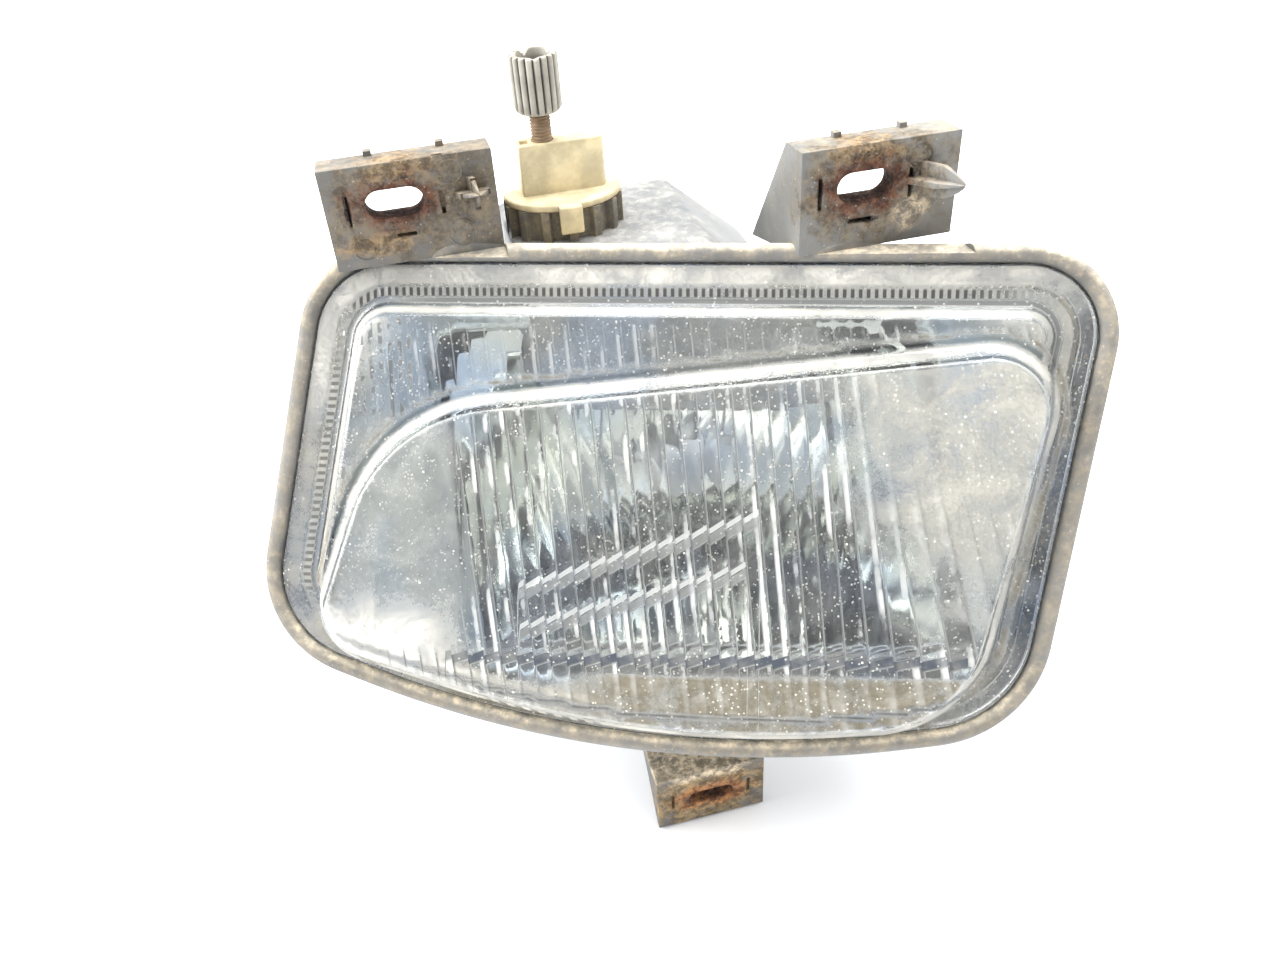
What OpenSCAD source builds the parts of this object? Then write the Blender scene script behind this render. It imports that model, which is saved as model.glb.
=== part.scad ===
// Fog light for the left front corner of a car bumper.
//
// Origin: midpoint of the two upper mounting slots, on the front face of
// the right-hand pad. +X is right as seen from in front of the car, +Y
// points back into the bumper, +Z is up. All lengths are in mm.

/* [Lens plane] */
// angle the lens leans back from vertical
rake = 28; // [0:1:45]
// angle the left end of the lens is swept back
sweep = 20; // [0:1:40]
// height of the moulded edge band in front of the lens plane
rim_front = 2.5; // [1:0.5:6]
// depth of the moulded edge band behind the lens plane
rim_back = 10; // [6:1:20]
// thickness of the lens glass
glass_wall = 2.8; // [2:0.1:4]
// height of the raised middle of the lens
lens_rise = 10; // [6:0.5:14]

/* [Housing] */
// wall of the housing
wall = 2.5; // [1.5:0.1:4]
// Y of the flat back of the housing
back_y = 66; // [50:1:90]
// radius of the service opening in the back
opening_r = 30; // [22:0.5:34]
// length of the neck behind the back face
neck_len = 14; // [8:1:20]
// top of the raised hump under the adjuster
hump_top_z = -17; // [-22:0.5:-12]

/* [Mounting pads] */
// distance between the two upper slots
slot_spacing = 98.3; // [90:0.1:110]
// Y of the left pad face
left_pad_y = 30; // [0:0.5:40]
// half the width of every upper slot
slot_r = 3.3; // [2.5:0.1:4]
// end-to-end length of the upper slots
slot_len = 13; // [8:0.5:18]
// thickness of the pad plates
pad_wall = 2.2; // [1.5:0.1:4]

/* [Reflector] */
// X of the bulb axis
axis_x = 12; // [-10:0.5:30]
// Z of the bulb axis
axis_z = -74; // [-85:0.5:-65]
// Y of the bottom of the bowl
bowl_y = 58; // [50:0.5:62]
// focal length of the bowl
focal_len = 22; // [16:0.5:28]
// wall of the bowl
bowl_wall = 2; // [1.5:0.1:3]
// Y of the line the reflector tilts about
pivot_y = 10; // [5:0.5:20]
// Z of the line the reflector tilts about
pivot_z = -95; // [-100:0.5:-60]

/* [Adjuster] */
// X of the adjuster screw
screw_x = -13; // [-20:0.5:-5]
// Y of the adjuster screw
screw_y = 44.5; // [40:0.5:50]
// radius of the adjuster screw
screw_r = 2.5; // [2:0.1:3]
// radius of the knob
knob_r = 5.6; // [4:0.1:8]
// number of flutes on the knob
knob_flutes = 18; // [8:1:30]

/* [Hidden] */
$fn = 48;
running_gap = 0.07;
lens_centre = [5.25, -13.5, -64.5];
// each outline is the taut band around a few circles: [u, v, radius]
rim_circles = [[52.5, -28.4, 29.9], [71.9, 37.6, 20.4], [-70.9, 35.9, 23.6],
               [-80.3, -20.3, 26.0], [6.3, 195.6, 258.5]];
main_circles = [[39.6, -25.4, 30.5], [64.4, 21.5, 16.5], [-43.0, -17.6, 44.1],
                [-78.0, -27.6, 14.6], [9.1, 188.8, 246.7]];
bezel_circles = [[53.5, -32.5, 13], [46, 33, 8], [-57, 31, 8], [-45, -37.5, 7], [6.3, 195.6, 245.5]];
chord_error = 0.08;

// lens edge stack-up, as distances inward from the rim outline
channel_out = 4.2;
channel_in = 8.2;
aperture = 10.2;
skirt_out = 4.6;
skirt_in = 7.4;
channel_floor = -6;
seal_top = -4;
flange_top = 1.5;
flange_under = -1.2;
inner_wall_top = -1.5;
step_foot = 13.5;
step_run = 3;
step_top = 5;
bevel_run = 4.8;

// the flat back of the housing, [x, z, radius]; its upper right is cut away to follow the hump
back_circles = [[46, -90, 26], [30, -80, 42], [-26, -60, 26], [-26, -90, 26]];
collar_x = screw_x + 3.5;
collar_r = 14.5;
collar_top = hump_top_z + 7.5;
flange_h = 3;
block_top = 4.5;
block_half = 3.5;
knob_z = 11.3;
knob_len = 12.8;
ball_z = -31;
ball_r = 4;
tail_r = 2;
neck_end = back_y + neck_len;
neck_r = opening_r + 3;
cap_r = neck_r + 4.8;
seat_y = bowl_y + 4;
seat_r = 18;
pin_r = 2.5;
bowl_x = 8;
bowl_z = -71.5;
bowl_half = [55, 37];
bowl_corner = 12;
ear_len = 4.2;
left_ear_x = -51;
plug_x = -39.5;
lead_r = 1.1;
lead_in = 14.5;
right_ear_x = 66.5;
vent_x = 59;
vent_z = -63;

function tangent(a, b) = atan2(b[1] - a[1], b[0] - a[0])
    - acos((a[2] - b[2]) / norm([b[0] - a[0], b[1] - a[1]]));
function turn(from, to) = (to - from) - 360 * floor((to - from) / 360);
function arc(c, from, span, inset) =
    let (steps = max(2, ceil(span / (2 * acos(1 - chord_error / c[2])))))
    [for (i = [0 : steps]) let (a = from + span * i / steps, r = c[2] - inset)
        [c[0] + r * cos(a), c[1] + r * sin(a)]];
function outline(circles, inset = 0) = [
    for (i = [0 : len(circles) - 1])
        let (n = len(circles),
             before = circles[(i + n - 1) % n],
             after = circles[(i + 1) % n],
             from = tangent(before, circles[i]),
             to = tangent(circles[i], after))
        each arc(circles[i], from, turn(from, to), inset)];
function shrunk(points, centre, k) = [for (p = points) centre + k * (p - centre)];
function rounded(cx, cz, half, r) = [
    [cx + half[0] - r, cz - half[1] + r, r], [cx + half[0] - r, cz + half[1] - r, r],
    [cx - half[0] + r, cz + half[1] - r, r], [cx - half[0] + r, cz - half[1] + r, r]];

// children are drawn flat in the lens plane and rise towards the viewer
module on_lens() {
    translate(lens_centre)
        rotate([0, 0, -sweep])
            rotate([90 - rake, 0, 0])
                children();
}

// a slab of an outline from height low to height high above the lens plane
module slab(points, low, high) {
    translate([0, 0, low])
        linear_extrude(high - low)
            polygon(points);
}

// children are drawn flat facing the front and rise from y_front back to y_back
module along_y(y_front, y_back) {
    translate([0, y_back, 0])
        rotate([90, 0, 0])
            linear_extrude(y_back - y_front)
                children();
}

// a round bar along Y
module bar_y(x, y, z, r, length) {
    translate([x, y, z])
        rotate([-90, 0, 0])
            cylinder(r = r, h = length);
}

// a round bar along X
module bar_x(x, y, z, r, length) {
    translate([x, y, z])
        rotate([0, 90, 0])
            cylinder(r = r, h = length);
}

// a round bar between two points, with a ball at its far end
module wire(a, b, r) {
    d = b - a;
    translate(a)
        rotate([0, acos(d[2] / norm(d)), atan2(d[1], d[0])])
            cylinder(r = r, h = norm(d), $fn = 20);
    translate(b)
        sphere(r = r * 1.12, $fn = 20);
}

module wire_run(points, r) {
    translate(points[0])
        sphere(r = r * 1.12, $fn = 20);
    for (i = [1 : len(points) - 1])
        wire(points[i - 1], points[i], r);
}

// a run of ten-sided bars through the points, each a little longer than its gap
module lead_run(points, r) {
    for (i = [1 : len(points) - 1]) {
        d = points[i] - points[i - 1];
        translate(points[i - 1])
            rotate([0, acos(d[2] / norm(d)), atan2(d[1], d[0])])
                rotate([0, 0, i * 7])
                    translate([0, 0, -r / 2])
                        cylinder(r = r * (1 + 0.02 * (i % 2)), h = norm(d) + r, $fn = 10);
    }
}

// ---------- housing ----------

module rim_band() {
    on_lens()
        difference() {
            slab(outline(rim_circles), -rim_back, rim_front);
            difference() {
                slab(outline(rim_circles, channel_out), channel_floor, rim_front + 1);
                slab(outline(rim_circles, channel_in), channel_floor - 1, inner_wall_top);
            }
            slab(outline(rim_circles, aperture), -rim_back - 1, rim_front + 2);
        }
}

module body_solid(inset_front, w_front, inset_back, y_end) {
    hull() {
        on_lens()
            slab(outline(rim_circles, inset_front), w_front, w_front + 0.5);
        along_y(y_end - 0.5, y_end)
            polygon(outline(back_circles, inset_back));
    }
}

module hump_solid(inset, y_front, y_back) {
    along_y(y_front, y_back)
        polygon([[-24 + inset, -50], [-24 + inset, hump_top_z - inset],
                 [21 - inset / 2, hump_top_z - inset], [42 - inset, hump_top_z - 18],
                 [46 - inset, -50]]);
}

// everything more than w in front of the lens plane
module front_of_plane(w) {
    on_lens()
        translate([-150, -100, w])
            cube([300, 200, 120]);
}

// wedge-shaped hollow bracket with an open back, drawn from x = 0
module bracket_shell(width, height, top_depth, foot_depth, drop) {
    shelf = top_depth - 1;
    difference() {
        rotate([90, 0, 90])
            linear_extrude(width)
                polygon([[0, 0], [foot_depth, -drop], [top_depth, height - 0.8], [0, height]]);
        translate([pad_wall, 0, 0])
            rotate([90, 0, 90])
                linear_extrude(width - 2 * pad_wall)
                    polygon([[pad_wall, pad_wall * 0.8],
                             [foot_depth + 2, pad_wall * 0.8 - drop * (foot_depth + 2) / foot_depth],
                             [foot_depth + 2, height - pad_wall], [pad_wall, height - pad_wall]]);
    }
    for (x = [width * 0.3, width * 0.72])
        translate([x - 0.6, pad_wall - 0.5, height * 0.55])
            cube([1.2, shelf, height * 0.45 + 0.6]);
}

module slot_shape(r, length, depth) {
    for (x = [-1, 1])
        bar_y(x * (length / 2 - r), 0, 0, r, depth);
    translate([r - length / 2, 0, -r])
        cube([length - 2 * r, depth, 2 * r]);
}

// locating pin with a cross section like a plus sign and a pointed end
module locating_pin(length) {
    rotate([0, 0, 18])
        rotate([-8, 0, 0])
            mirror([0, 1, 0])
                translate([0, -1.5, 0]) {
                    for (a = [45, 135])
                        rotate([0, a, 0])
                            translate([-0.8, 0, -4])
                                cube([1.6, length - 3, 8]);
                    translate([0, length - 4.1, 0])
                        rotate([-90, 0, 0])
                            cylinder(r1 = 3.4, r2 = 0.6, h = 5.6);
                }
}

module upper_bracket(slot_x, width, left_margin, foot_depth, drop, pin_dx, pin_len) {
    difference() {
        union() {
            translate([slot_x - left_margin, 0, -14])
                bracket_shell(width, 23.2, 9.7, foot_depth, drop);
            translate([slot_x, 0, 0])
                slot_shape(slot_r + 2, slot_len + 4, 5.5);
        }
        translate([slot_x, -1, 0])
            slot_shape(slot_r, slot_len, 10);
        for (x = [-10.4, 10.4])
            translate([slot_x + x - 0.4, -1, -4])
                cube([0.8, pad_wall + 2, 7]);
        translate([slot_x - 3.5, -1, -8])
            cube([7, pad_wall + 2, 0.8]);
    }
    translate([slot_x + pin_dx, 0, 0])
        locating_pin(pin_len);
}

module lower_bracket() {
    front_y = -29;
    left = -12.3;
    width = 30.3;
    top_z = -144.5;
    difference() {
        union() {
            translate([left, front_y, top_z])
                mirror([0, 0, 1])
                    bracket_web(width);
            translate([2.9, front_y, -154.9])
                slot_shape(4.2, 14, 5);
        }
        translate([2.9, front_y - 1, -154.9])
            slot_shape(2.2, 12.4, 10);
        for (x = [-7.9, 13.5])
            translate([x - 0.4, front_y - 1, -157.5])
                cube([0.8, pad_wall + 2, 5.5]);
    }
}

// the lower bracket is a wedge that is deep at its top, carried by a hollow leg
module bracket_web(width) {
    height = 20;
    leg = 24.5;
    difference() {
        rotate([90, 0, 90])
            linear_extrude(width)
                polygon([[0, 0], [10, 0], [12, -leg], [24, -leg], [18, 0], [1.8, height], [0, height]]);
        translate([pad_wall, 0, 0])
            rotate([90, 0, 90])
                linear_extrude(width - 2 * pad_wall)
                    polygon([[pad_wall, pad_wall], [10 + pad_wall, pad_wall],
                             [12 + pad_wall, -leg - 1], [30, -leg - 1], [30, height + 1],
                             [pad_wall, height - pad_wall]]);
    }
}

// toothed collar that the adjuster bush snaps into
// ring under the bush, with upright ribs round it
module collar() {
    ribs = 14;
    height = collar_top - hump_top_z + 1;
    translate([collar_x, screw_y, hump_top_z - 1]) {
        cylinder(r = collar_r - 1.2, h = height);
        for (i = [0 : ribs - 1])
            rotate([0, 0, (i + 0.5) * 360 / ribs])
                translate([0, -1, 0])
                    cube([collar_r, 2, height]);
    }
}

// inside walls that carry the tilt pins
module pivot_posts() {
    translate([left_ear_x - 5.4, pivot_y - 6, pivot_z - 6])
        cube([4.6, 58, 12]);
    translate([right_ear_x + 1, pivot_y - 6, pivot_z - 6])
        cube([14, 12, 12]);
}

module neck() {
    difference() {
        union() {
            bar_y(axis_x, back_y - 2, axis_z, neck_r, neck_len + 2);
            for (i = [0 : 2])
                translate([axis_x, 0, axis_z])
                    rotate([0, i * 120, 0])
                        ramp(20, neck_r - 0.5, neck_r + 1.9, back_y + 5.2, back_y + 7.4);
        }
        bar_y(axis_x, back_y - 4, axis_z, opening_r, neck_len + 6);
    }
}

// part of a ring around the bulb axis, reaching half_angle each way from up
module ramp(half_angle, r_in, r_out, y0, y1) {
    translate([0, y1, 0])
        rotate([90, 0, 0])
            rotate([0, 0, 90 - half_angle])
                rotate_extrude(angle = 2 * half_angle)
                    translate([r_in, 0])
                        square([r_out - r_in, y1 - y0]);
}

module housing() {
    color([0.5, 0.52, 0.54])
    difference() {
        union() {
            rim_band();
            difference() {
                union() {
                    body_solid(2.5, 2 - rim_back, 0, back_y);
                    difference() {
                        hump_solid(0, 12, back_y - 1);
                        front_of_plane(-6);
                    }
                }
                body_solid(5.5, 0.5 - rim_back, wall, back_y - wall);
                on_lens()
                    slab(outline(rim_circles, aperture), -rim_back - 3, 20);
                difference() {
                    hump_solid(wall, 12, back_y - 1 - wall);
                    front_of_plane(-12);
                }
                bar_y(axis_x, back_y - 6, axis_z, opening_r, 12);
            }
            intersection() {
                body_solid(3, 2 - rim_back, 1, back_y - 1);
                pivot_posts();
            }
            neck();
            collar();
            upper_bracket(slot_spacing / 2, 36.2, 14.8, 31, 7.5, 12.8, 14);
            translate([0, left_pad_y, 0])
                upper_bracket(-slot_spacing / 2, 38, 15.3, 26, 6.5, 17, 10);
            lower_bracket();
        }
        // bore for the bush, bores for the tilt pins, vent and connector holes
        translate([collar_x, screw_y, hump_top_z - 6])
            cylinder(r = 10.2, h = 20);
        translate([collar_x, screw_y, collar_top - 1])
            cylinder(r = 12.6, h = 3);
        bar_x(left_ear_x - 5.4, pivot_y, pivot_z, pin_r, 8);
        bar_x(right_ear_x, pivot_y, pivot_z, pin_r, 7);
        bar_y(vent_x, back_y - 5, vent_z, 2, 10);
        blade_pair(back_y - 5, 10);
    }
}

module bezel() {
    color([0.72, 0.73, 0.74])
    on_lens()
        difference() {
            slab(outline(rim_circles, aperture), -9, -7);
            slab(outline(bezel_circles), -10, -6);
        }
}

// ---------- lens ----------

module main_mound(inset, drop) {
    spread = inset * 0.6;
    centre = [-5, -12];
    hull() {
        slab(outline(main_circles, inset), flange_under - drop, flange_under - drop + 0.01);
        slab(outline(main_circles, inset + 0.7), 3 - drop, 3.01 - drop);
        slab(outline(main_circles, inset + bevel_run), lens_rise - drop, lens_rise + 0.01 - drop);
        slab(shrunk(outline(main_circles, spread), centre, 0.55), lens_rise + 1.6 - drop,
             lens_rise + 1.61 - drop);
    }
}

module step_mound(inset, drop) {
    hull() {
        slab(outline(rim_circles, step_foot + inset), flange_under - drop, flange_top - drop);
        slab(outline(rim_circles, step_foot + step_run + inset * 0.6), step_top - drop,
             step_top + 0.01 - drop);
    }
}

module lens() {
    color([0.85, 0.9, 0.92, 0.4])
    on_lens()
        difference() {
            union() {
                slab(outline(rim_circles, skirt_out), seal_top, flange_top);
                step_mound(0, 0);
                main_mound(0, 0);
            }
            slab(outline(rim_circles, skirt_in), seal_top - 1, flange_under);
            step_mound(glass_wall, glass_wall);
            main_mound(glass_wall, glass_wall);
        }
}

module lens_seal() {
    color([0.12, 0.12, 0.13])
    on_lens()
        difference() {
            slab(outline(rim_circles, channel_out), channel_floor, seal_top);
            slab(outline(rim_circles, channel_in), channel_floor - 1, seal_top + 1);
        }
}

// ---------- reflector and bulb, which tilt together ----------

// solid bowl around the bulb axis, opening towards the front
module bowl_solid(back_shift) {
    steps = 14;
    reach = 92;
    translate([axis_x, bowl_y + back_shift, axis_z])
        rotate([90, 0, 0])
            rotate_extrude($fn = 96)
                polygon(concat([for (i = [0 : steps]) let (r = reach * i / steps)
                                [r, r * r / (4 * focal_len)]],
                               [[0, reach * reach / (4 * focal_len)]]));
}

module bowl_prism(inset) {
    along_y(-70, bowl_y + 6)
        polygon(outline(rounded(bowl_x, bowl_z, bowl_half, bowl_corner), inset));
}

module reflector() {
    color([0.8, 0.82, 0.84])
    difference() {
        union() {
            difference() {
                intersection() {
                    bowl_prism(0);
                    bowl_solid(3);
                }
                front_of_plane(-14);
            }
            bar_y(axis_x, bowl_y - 6, axis_z, seat_r, 8.5);
            // lug under the ball socket
            translate([screw_x - 5.5, screw_y - 3.5, ball_z - 25])
                cube([11, 9, 20]);
            // ears for the tilt bushes
            for (x = [left_ear_x, right_ear_x - 4])
                tilt_ear(x);
        }
        intersection() {
            bowl_prism(bowl_wall);
            bowl_solid(0);
        }
        bar_y(axis_x, bowl_y - 20, axis_z, 9, 30);
        bar_x(left_ear_x - 1, pivot_y, pivot_z, pin_r + 1.5, 10);
        bar_x(right_ear_x - 8, pivot_y, pivot_z, pin_r + 1.5, 10);
    }
}

module tilt_ear(x) {
    bar_x(x, pivot_y, pivot_z, 6, ear_len);
    translate([x, pivot_y, pivot_z - 6])
        cube([ear_len, 16, 12]);
}

module ball_socket() {
    color([0.88, 0.84, 0.7])
    difference() {
        translate([screw_x - 6.5, screw_y - 3.5, ball_z - 5])
            cube([13, 10, 9.5]);
        bar_y(screw_x, screw_y - 8, ball_z, ball_r + 0.3, 20);
        translate([screw_x - 3.2, screw_y - 8, ball_z])
            cube([6.4, 20, 8]);
    }
}

module pivot_pins() {
    color([0.7, 0.7, 0.72]) {
        bar_x(left_ear_x - 5.4, pivot_y, pivot_z, pin_r, 9.4);
        bar_x(right_ear_x - 4, pivot_y, pivot_z, pin_r, 11);
    }
}

module pivot_bushes() {
    color([0.9, 0.88, 0.8])
    for (x = [left_ear_x, right_ear_x - 4])
        difference() {
            bar_x(x, pivot_y, pivot_z, pin_r + 1.5, ear_len);
            bar_x(x - 1, pivot_y, pivot_z, pin_r + running_gap, 7);
        }
}

module bulb_seat() {
    color([0.75, 0.75, 0.76])
    difference() {
        union() {
            bar_y(axis_x, seat_y - 1.5, axis_z, 16, 1.5);
            for (x = [-11.5, 8.5])
                translate([axis_x + x, seat_y - 1.5, axis_z + 12])
                    cube([3, 5, 5.5]);
        }
        bar_y(axis_x, seat_y - 3, axis_z, 7.6, 6);
        bar_x(axis_x - 14, seat_y + 1.5, axis_z + 15.5, 0.93 + running_gap, 28);
        for (a = [60, 180, 300])
            bar_y(axis_x + 13 * sin(a), seat_y - 3, axis_z + 13 * cos(a), 1.5, 6);
    }
}

module seat_screws() {
    color([0.6, 0.6, 0.62])
    for (a = [60, 180, 300]) {
        bar_y(axis_x + 13 * sin(a), seat_y - 1.5, axis_z + 13 * cos(a), 1.5, 1.6);
        bar_y(axis_x + 13 * sin(a), seat_y, axis_z + 13 * cos(a), 2.6, 1.6);
    }
}

module bulb_glass() {
    color([0.9, 0.93, 0.95, 0.35])
    difference() {
        union() {
            bar_y(axis_x, 23, axis_z, 5, 29);
            translate([axis_x, 23, axis_z])
                sphere(r = 5);
        }
        bar_y(axis_x, 23, axis_z, 4.2, 30);
        translate([axis_x, 23, axis_z])
            sphere(r = 4.2);
    }
}

module bulb_filament() {
    color([0.5, 0.5, 0.5]) {
        bar_y(axis_x, 32, axis_z, 0.9, 7);
        wire_run([[axis_x, 38.5, axis_z], [axis_x + 1.8, 42, axis_z], [axis_x + 1.8, 51.3, axis_z]], 0.4);
        wire_run([[axis_x, 32.5, axis_z], [axis_x - 2.6, 31, axis_z], [axis_x - 2.6, 51.3, axis_z]], 0.4);
    }
}

module bulb_base() {
    color([0.78, 0.76, 0.7]) {
        difference() {
            bar_y(axis_x, 49, axis_z, 6.8, 13);
            bar_y(axis_x, 48, axis_z, 5, 4);
        }
        difference() {
            bar_y(axis_x, seat_y, axis_z, 10, 1.6);
            translate([axis_x - 2, seat_y - 1, axis_z - 12])
                cube([4, 4, 3.4]);
        }
        bar_y(axis_x, seat_y + 1.6, axis_z, 5.6, 2.6);
    }
}

module bulb_contact() {
    color([0.8, 0.72, 0.45])
    translate([axis_x - 3.15, seat_y + 4.2, axis_z - 0.4])
        cube([6.3, 8, 0.8]);
}

module lead_boot() {
    color([0.15, 0.15, 0.16])
    difference() {
        bar_y(axis_x, seat_y + 5.2, axis_z, 4.8, 12);
        translate([axis_x - 3.15, seat_y + 4, axis_z - 0.4])
            cube([6.3, 8.2, 0.8]);
        bar_x(axis_x - 6, seat_y + lead_in, axis_z, 1.3, 3.6);
    }
}

module bulb_clip() {
    y = seat_y + 1.5;
    z = axis_z + 15.5;
    color([0.7, 0.7, 0.72]) {
        wire_run([[axis_x - 12.6, y, z], [axis_x + 12.6, y, z]], 0.93);
        for (s = [-1, 1])
            wire_run([[axis_x + s * 12.6, y, z], [axis_x + s * 12.6, y + 2.2, z - 4],
                      [axis_x + s * 8, y + 1.3, axis_z], [axis_x + s * 6, y + 1.3, axis_z - 11],
                      [axis_x, y + 1.8, axis_z - 17.5]], 0.93);
    }
}

module bulb_shield() {
    color([0.55, 0.56, 0.58]) {
        difference() {
            bar_y(axis_x, 11, axis_z, 9, 13);
            bar_y(axis_x, 12, axis_z, 8.2, 14);
        }
        for (s = [-1, 1]) {
            translate([axis_x + (s > 0 ? 8.4 : -17.4), 20, axis_z - 1.5])
                cube([9, 1, 3]);
            translate([axis_x + (s > 0 ? 16.4 : -17.4), 20, axis_z - 1.5])
                cube([1, 35.9, 3]);
        }
    }
}

module earth_tab() {
    color([0.75, 0.73, 0.6])
    translate([axis_x - 13.5, seat_y, axis_z - 10.5])
        cube([5, 6.5, 0.8]);
}

// ---------- leads, connector, cap ----------

module lead_live() {
    y = seat_y + lead_in;
    color([0.45, 0.12, 0.1])
    lead_run([[plug_x, 56.5, -68], [-24, 57.5, -70], [-12, 60, -72], [-4, 70, -74],
              [axis_x - 9, y, axis_z], [axis_x - 3.7, y, axis_z]], lead_r);
}

module lead_earth() {
    color([0.12, 0.12, 0.13])
    lead_run([[plug_x, 56.5, -76], [-24, 57.5, -81], [-11, 61, -83], [axis_x - 15.2, seat_y + 5, axis_z - 10.1]], lead_r);
}

module blade_pair(y, length) {
    for (z = [-76, -68])
        translate([plug_x - 3.15, y, z - 0.4])
            cube([6.3, length, 0.8]);
}

module connector_shell() {
    color([0.1, 0.1, 0.11])
    difference() {
        translate([plug_x - 9, back_y + 1, -84])
            cube([18, 19, 24]);
        translate([plug_x - 7, back_y + 4, -82])
            cube([14, 17, 20]);
        blade_pair(back_y, 8);
    }
}

module connector_seal() {
    color([0.7, 0.35, 0.2])
    difference() {
        translate([plug_x - 9, back_y, -84])
            cube([18, 1, 24]);
        blade_pair(back_y - 1, 8);
    }
}

module connector_pins() {
    color([0.8, 0.72, 0.45])
    blade_pair(58.2, back_y - 42.2);
}

module rear_cap() {
    ribs = 12;
    inner_end = neck_end + 2;
    color([0.13, 0.13, 0.14])
    difference() {
        union() {
            bar_y(axis_x, back_y + 1, axis_z, cap_r, inner_end - back_y + 2);
            for (i = [0 : ribs - 1])
                translate([axis_x, 0, axis_z])
                    rotate([0, i * 360 / ribs, 0])
                        translate([cap_r - 1, back_y + 3, -1.5])
                            cube([2.6, inner_end - back_y - 2, 3]);
            translate([axis_x - 22, inner_end + 2, axis_z - 3])
                cube([44, 5, 6]);
        }
        difference() {
            bar_y(axis_x, back_y, axis_z, cap_r - 2.5, inner_end - back_y);
            for (i = [0 : 2])
                translate([axis_x, 0, axis_z])
                    rotate([0, i * 120, 0])
                        ramp(12, neck_r + 0.3, cap_r, back_y + 2.2, back_y + 4.6);
        }
    }
}

module cap_seal() {
    color([0.2, 0.2, 0.2])
    difference() {
        bar_y(axis_x, neck_end + 0.1, axis_z, neck_r, 1.9);
        bar_y(axis_x, neck_end - 1, axis_z, opening_r, 5);
    }
}

module vent_elbow() {
    color([0.14, 0.14, 0.15])
    difference() {
        union() {
            bar_y(vent_x, back_y, vent_z, 4.2, 8);
            translate([vent_x, back_y + 8, vent_z])
                sphere(r = 4.2);
            translate([vent_x, back_y + 8, vent_z - 14])
                cylinder(r = 4.2, h = 14);
        }
        bar_y(vent_x, back_y - 1, vent_z, 2, 9);
        translate([vent_x, back_y + 8, vent_z])
            sphere(r = 2);
        translate([vent_x, back_y + 8, vent_z - 15])
            cylinder(r = 2, h = 15);
    }
}

// ---------- adjuster ----------

module adjuster_bush() {
    color([0.85, 0.78, 0.6])
    difference() {
        union() {
            translate([collar_x, screw_y, collar_top])
                cylinder(r = 14.3, h = flange_h);
            translate([collar_x, screw_y, hump_top_z - 5])
                cylinder(r = 10.2, h = collar_top - hump_top_z + 6);
            intersection() {
                translate([collar_x - 9.7, screw_y - block_half, collar_top + 1])
                    cube([20.5, 2 * block_half, block_top - collar_top - 1]);
                union() {
                    translate([collar_x - 9.7, screw_y - block_half, -20])
                        cube([17, 2 * block_half, 30]);
                    translate([collar_x + 7.3, screw_y, -20])
                        cylinder(r = block_half, h = 30);
                }
            }
            // snap tab at the front
            translate([collar_x - 3, screw_y - 16.6, collar_top - 4.5])
                cube([5.5, 2, 6.5]);
            translate([collar_x - 3, screw_y - 16.6, collar_top])
                cube([5.5, 5, flange_h - 1]);
        }
        translate([screw_x, screw_y, -30])
            cylinder(r = screw_r + running_gap, h = 60);
        translate([collar_x - 9, screw_y - 1.2, block_top - 1.6])
            cube([2, 2.4, 3]);
    }
}

module adjuster_seal() {
    color([0.1, 0.1, 0.1])
    translate([collar_x, screw_y, collar_top - 1])
        difference() {
            cylinder(r = 12.6, h = 1);
            translate([0, 0, -1])
                cylinder(r = 10.2, h = 3);
        }
}

module adjuster_screw() {
    color([0.6, 0.58, 0.52]) {
        translate([screw_x, screw_y, ball_z + ball_r + 0.5])
            cylinder(r = screw_r, h = knob_z + 8 - ball_z - ball_r - 0.5);
        translate([screw_x, screw_y, ball_z - 2])
            cylinder(r = tail_r, h = ball_r + 3);
    }
}

module adjuster_knob() {
    flute_r = 0.55;
    color([0.75, 0.74, 0.7])
    difference() {
        union() {
            translate([screw_x, screw_y, knob_z])
                cylinder(r1 = knob_r - 0.9, r2 = knob_r, h = 0.9);
            translate([screw_x, screw_y, knob_z + 0.9])
                cylinder(r = knob_r, h = knob_len - 0.9);
        }
        translate([screw_x, screw_y, knob_z - 1])
            cylinder(r = screw_r, h = 9);
        translate([screw_x, screw_y, knob_z + knob_len - 2.5])
            cylinder(r = 3, h = 4);
        for (i = [0 : knob_flutes - 1])
            rotate_at(i * 360 / knob_flutes)
                translate([knob_r + 0.1, 0, knob_z - 1])
                    cylinder(r = flute_r, h = knob_len + 2, $fn = 16);
    }
}

module rotate_at(angle) {
    translate([screw_x, screw_y, 0])
        rotate([0, 0, angle])
            children();
}

module adjuster_ball() {
    color([0.9, 0.88, 0.8])
    difference() {
        union() {
            translate([screw_x, screw_y, ball_z])
                sphere(r = ball_r);
            translate([screw_x, screw_y, ball_z])
                cylinder(r = 2.9, h = ball_r + 0.4);
        }
        translate([screw_x, screw_y, ball_z - 2.1])
            cylinder(r = tail_r + running_gap, h = 10);
    }
}

housing();
lens();
lens_seal();
bezel();
reflector();
bulb_seat();
seat_screws();
bulb_shield();
bulb_glass();
bulb_filament();
bulb_base();
bulb_contact();
bulb_clip();
lead_boot();
lead_live();
lead_earth();
earth_tab();
connector_shell();
connector_seal();
connector_pins();
rear_cap();
cap_seal();
vent_elbow();
adjuster_bush();
adjuster_seal();
adjuster_screw();
adjuster_knob();
adjuster_ball();
ball_socket();
pivot_pins();
pivot_bushes();
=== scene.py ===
"""Looks of a used corner fog lamp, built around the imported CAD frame. Lengths are millimetres."""

import math

import bmesh
import bpy
import numpy as np
from mathutils import Matrix, Vector, noise
from mathutils.geometry import delaunay_2d_cdt


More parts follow.
